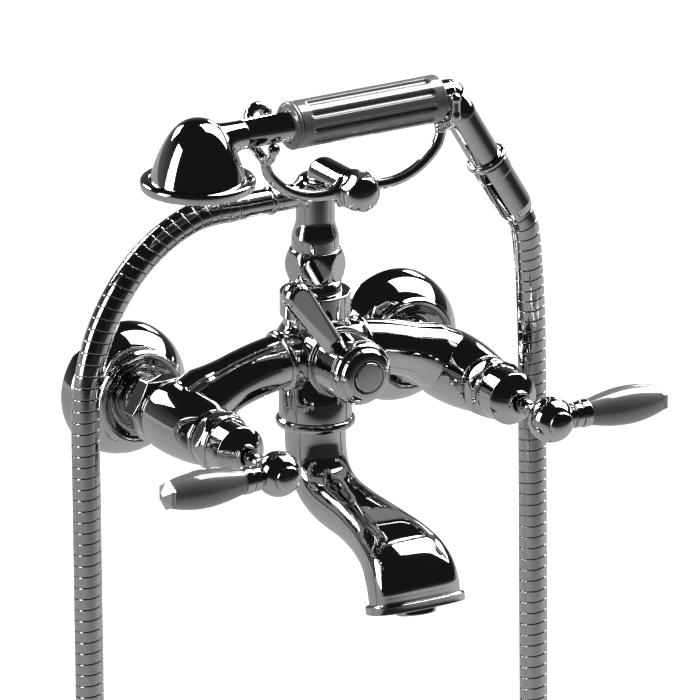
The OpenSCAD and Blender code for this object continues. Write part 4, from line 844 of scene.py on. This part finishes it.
# %% Finishes on the remaining solids
KEPT = {"inlet_washer": "washer_rubber", "fixed_disc": "valve_ceramic", "turning_disc": "valve_ceramic",
        "handle_screw": "screw_steel", "diverter_sleeve": "brass", "diverter_spindle": "brass",
        "spout_tail": "brass", "aerator_insert": "dark_plastic", "hose_washer": "washer_rubber",
        "spray_plate": "dark_plastic"}
for name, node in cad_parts.items():
    if not node.hide_render:
        stem_name = name.rsplit("_", 1)[0] if name.rsplit("_", 1)[-1] in ("hot", "cold", "lower", "upper") else name
        node.data.materials.clear()
        node.data.materials.append(FINISH[KEPT[stem_name]])
print("kept solids", sum(not n.hide_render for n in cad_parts.values()))

# %% [markdown]
# ## Studio
# The mixer hangs in a dark studio over a pale floor: the chrome shows the dark room as black above and each
# softbox as a sharp white patch. Below, it shows a painted grey glow that the floor gives off only to
# reflections. The camera alone sees white behind the object, and the floor keeps a faint shadow.

# %% World and floor
world = bpy.data.worlds.new("studio")
scene.world = world
world.use_nodes = True
tree = world.node_tree
tree.nodes.clear()
path = add(tree, "ShaderNodeLightPath", -800, 300)
where = add(tree, "ShaderNodeTexCoord", -1200, 0)
split = add(tree, "ShaderNodeSeparateXYZ", -1000, 0)
height = add(tree, "ShaderNodeMapRange", -800, 0, From_Min=0.5, From_Max=0.0, To_Min=0.0, To_Max=1.0)
depth = add(tree, "ShaderNodeMapRange", -800, -260, From_Min=0.0, From_Max=1.0, To_Min=0.0, To_Max=0.15)
glow = add(tree, "ShaderNodeMath", -600, -100)
glow.operation = "MULTIPLY"
room = add(tree, "ShaderNodeMath", -420, -100, i1=0.012)
ground = add(tree, "ShaderNodeMapRange", -600, -300, From_Min=-0.25, From_Max=0.35, To_Min=0.03, To_Max=0.5)
below = add(tree, "ShaderNodeMath", -600, 100, i1=-0.01)
below.operation = "LESS_THAN"
pick = add(tree, "ShaderNodeMix", -240, -60)
dark = add(tree, "ShaderNodeBackground", -60, 0)
white = add(tree, "ShaderNodeBackground", -60, 160, Color=(1, 1, 1, 1))
mix, out = add(tree, "ShaderNodeMixShader", 140, 100), add(tree, "ShaderNodeOutputWorld", 320, 100)
wire(tree, (where, "Generated", split, 0), (split, "Z", height, "Value"), (split, "Z", below, 0),
     (split, "Y", depth, "Value"), (split, "Y", ground, "Value"), (height, 0, glow, 0), (depth, 0, glow, 1),
     (glow, 0, room, 0), (below, 0, pick, "Factor"), (room, 0, pick, "A"), (ground, 0, pick, "B"),
     (pick, "Result", dark, "Color"), (path, "Is Camera Ray", mix, "Fac"), (dark, 0, mix, 1),
     (white, 0, mix, 2), (mix, 0, out, "Surface"))

floor_mesh = bpy.data.meshes.new("studio_floor")
r = 4.0
floor_mesh.from_pydata([(-r, -r, -0.53), (r, -r, -0.53), (r, r, -0.53), (-r, r, -0.53)], [], [(0, 1, 2, 3)])
floor = bpy.data.objects.new("studio_floor", floor_mesh)
scene.collection.objects.link(floor)
paint = bpy.data.materials.new("pale_floor")
paint.use_nodes = True
tree = paint.node_tree
tree.nodes.clear()
path = add(tree, "ShaderNodeLightPath", -700, 300)
matt = add(tree, "ShaderNodeBsdfDiffuse", -500, 0, Color=(0.72, 0.72, 0.72, 1))
where = add(tree, "ShaderNodeTexCoord", -1300, 160)
split = add(tree, "ShaderNodeSeparateXYZ", -1100, 160)
# Painted light: an emission that only reflections see, brightest under and behind the mixer, fading to almost nothing
# towards the front, and a little brighter to the right.
painted_falloff = add(tree, "ShaderNodeMapRange", -900, 160, From_Min=-2.4, From_Max=-0.3, To_Min=0.03, To_Max=0.5)
painted_falloff.interpolation_type = "SMOOTHSTEP"
side = add(tree, "ShaderNodeMapRange", -900, 400, From_Min=-1.5, From_Max=1.5, To_Min=0.8, To_Max=1.25)
painted_light_pool = add(tree, "ShaderNodeMath", -700, 200)
painted_light_pool.operation = "MULTIPLY"
painted_floor_glow = add(tree, "ShaderNodeEmission", -500, 140)
wire(tree, (where, "Object", split, 0), (split, "Y", painted_falloff, "Value"), (split, "X", side, "Value"),
     (painted_falloff, 0, painted_light_pool, 0), (side, 0, painted_light_pool, 1), (painted_light_pool, 0, painted_floor_glow, "Color"))
seen = add(tree, "ShaderNodeEmission", -500, -140, Color=(1, 1, 1, 1), Strength=0.8)
both = add(tree, "ShaderNodeAddShader", -250, -60)
# Glossy rays see the painted glow instead of the lit floor, so the chrome shows it without shadows.
mirrored = add(tree, "ShaderNodeMixShader", -250, 140)
mix, out = add(tree, "ShaderNodeMixShader", 0, 100), add(tree, "ShaderNodeOutputMaterial", 200, 100)
wire(tree, (matt, 0, both, 0), (seen, 0, both, 1), (path, "Is Glossy Ray", mirrored, "Fac"),
     (matt, 0, mirrored, 1), (painted_floor_glow, 0, mirrored, 2), (path, "Is Camera Ray", mix, "Fac"), (mirrored, 0, mix, 1),
     (both, 0, mix, 2), (mix, 0, out, "Surface"))
floor_mesh.materials.append(paint)

# %% Softboxes
def softbox(name, at, aim, wide, tall, power):
    """A rectangular lamp that faces its aim, seen in the metal but not by the camera."""
    data = bpy.data.lights.new(name, "AREA")
    data.shape, data.size, data.size_y, data.energy = "RECTANGLE", wide, tall, power
    lamp = bpy.data.objects.new(name, data)
    scene.collection.objects.link(lamp)
    lamp.visible_camera = False
    z = np.asarray(at, float) - np.asarray(aim, float)
    z /= np.linalg.norm(z)
    x = np.cross((0, 0, 1) if abs(z[2]) < 0.95 else (0, 1, 0), z)
    x /= np.linalg.norm(x)
    m = np.stack([x, np.cross(z, x), z, at], 1)
    lamp.matrix_world = Matrix([list(map(float, row)) for row in m] + [[0.0, 0.0, 0.0, 1.0]])
    return lamp


AIM = (0, -0.08, 0.03)
softbox("right", (1.12, 0.08, 1.22), AIM, 1.0, 1.7, 46)
softbox("left", (-1.52, 0.25, 0.5), AIM, 0.6, 1.15, 17)
softbox("behind_right", (1.2, 1.0, 0.6), AIM, 0.35, 0.35, 4)
softbox("behind_left", (-0.52, 1.5, 0.95), AIM, 0.75, 0.5, 22)
print("lamps", len(bpy.data.lights))
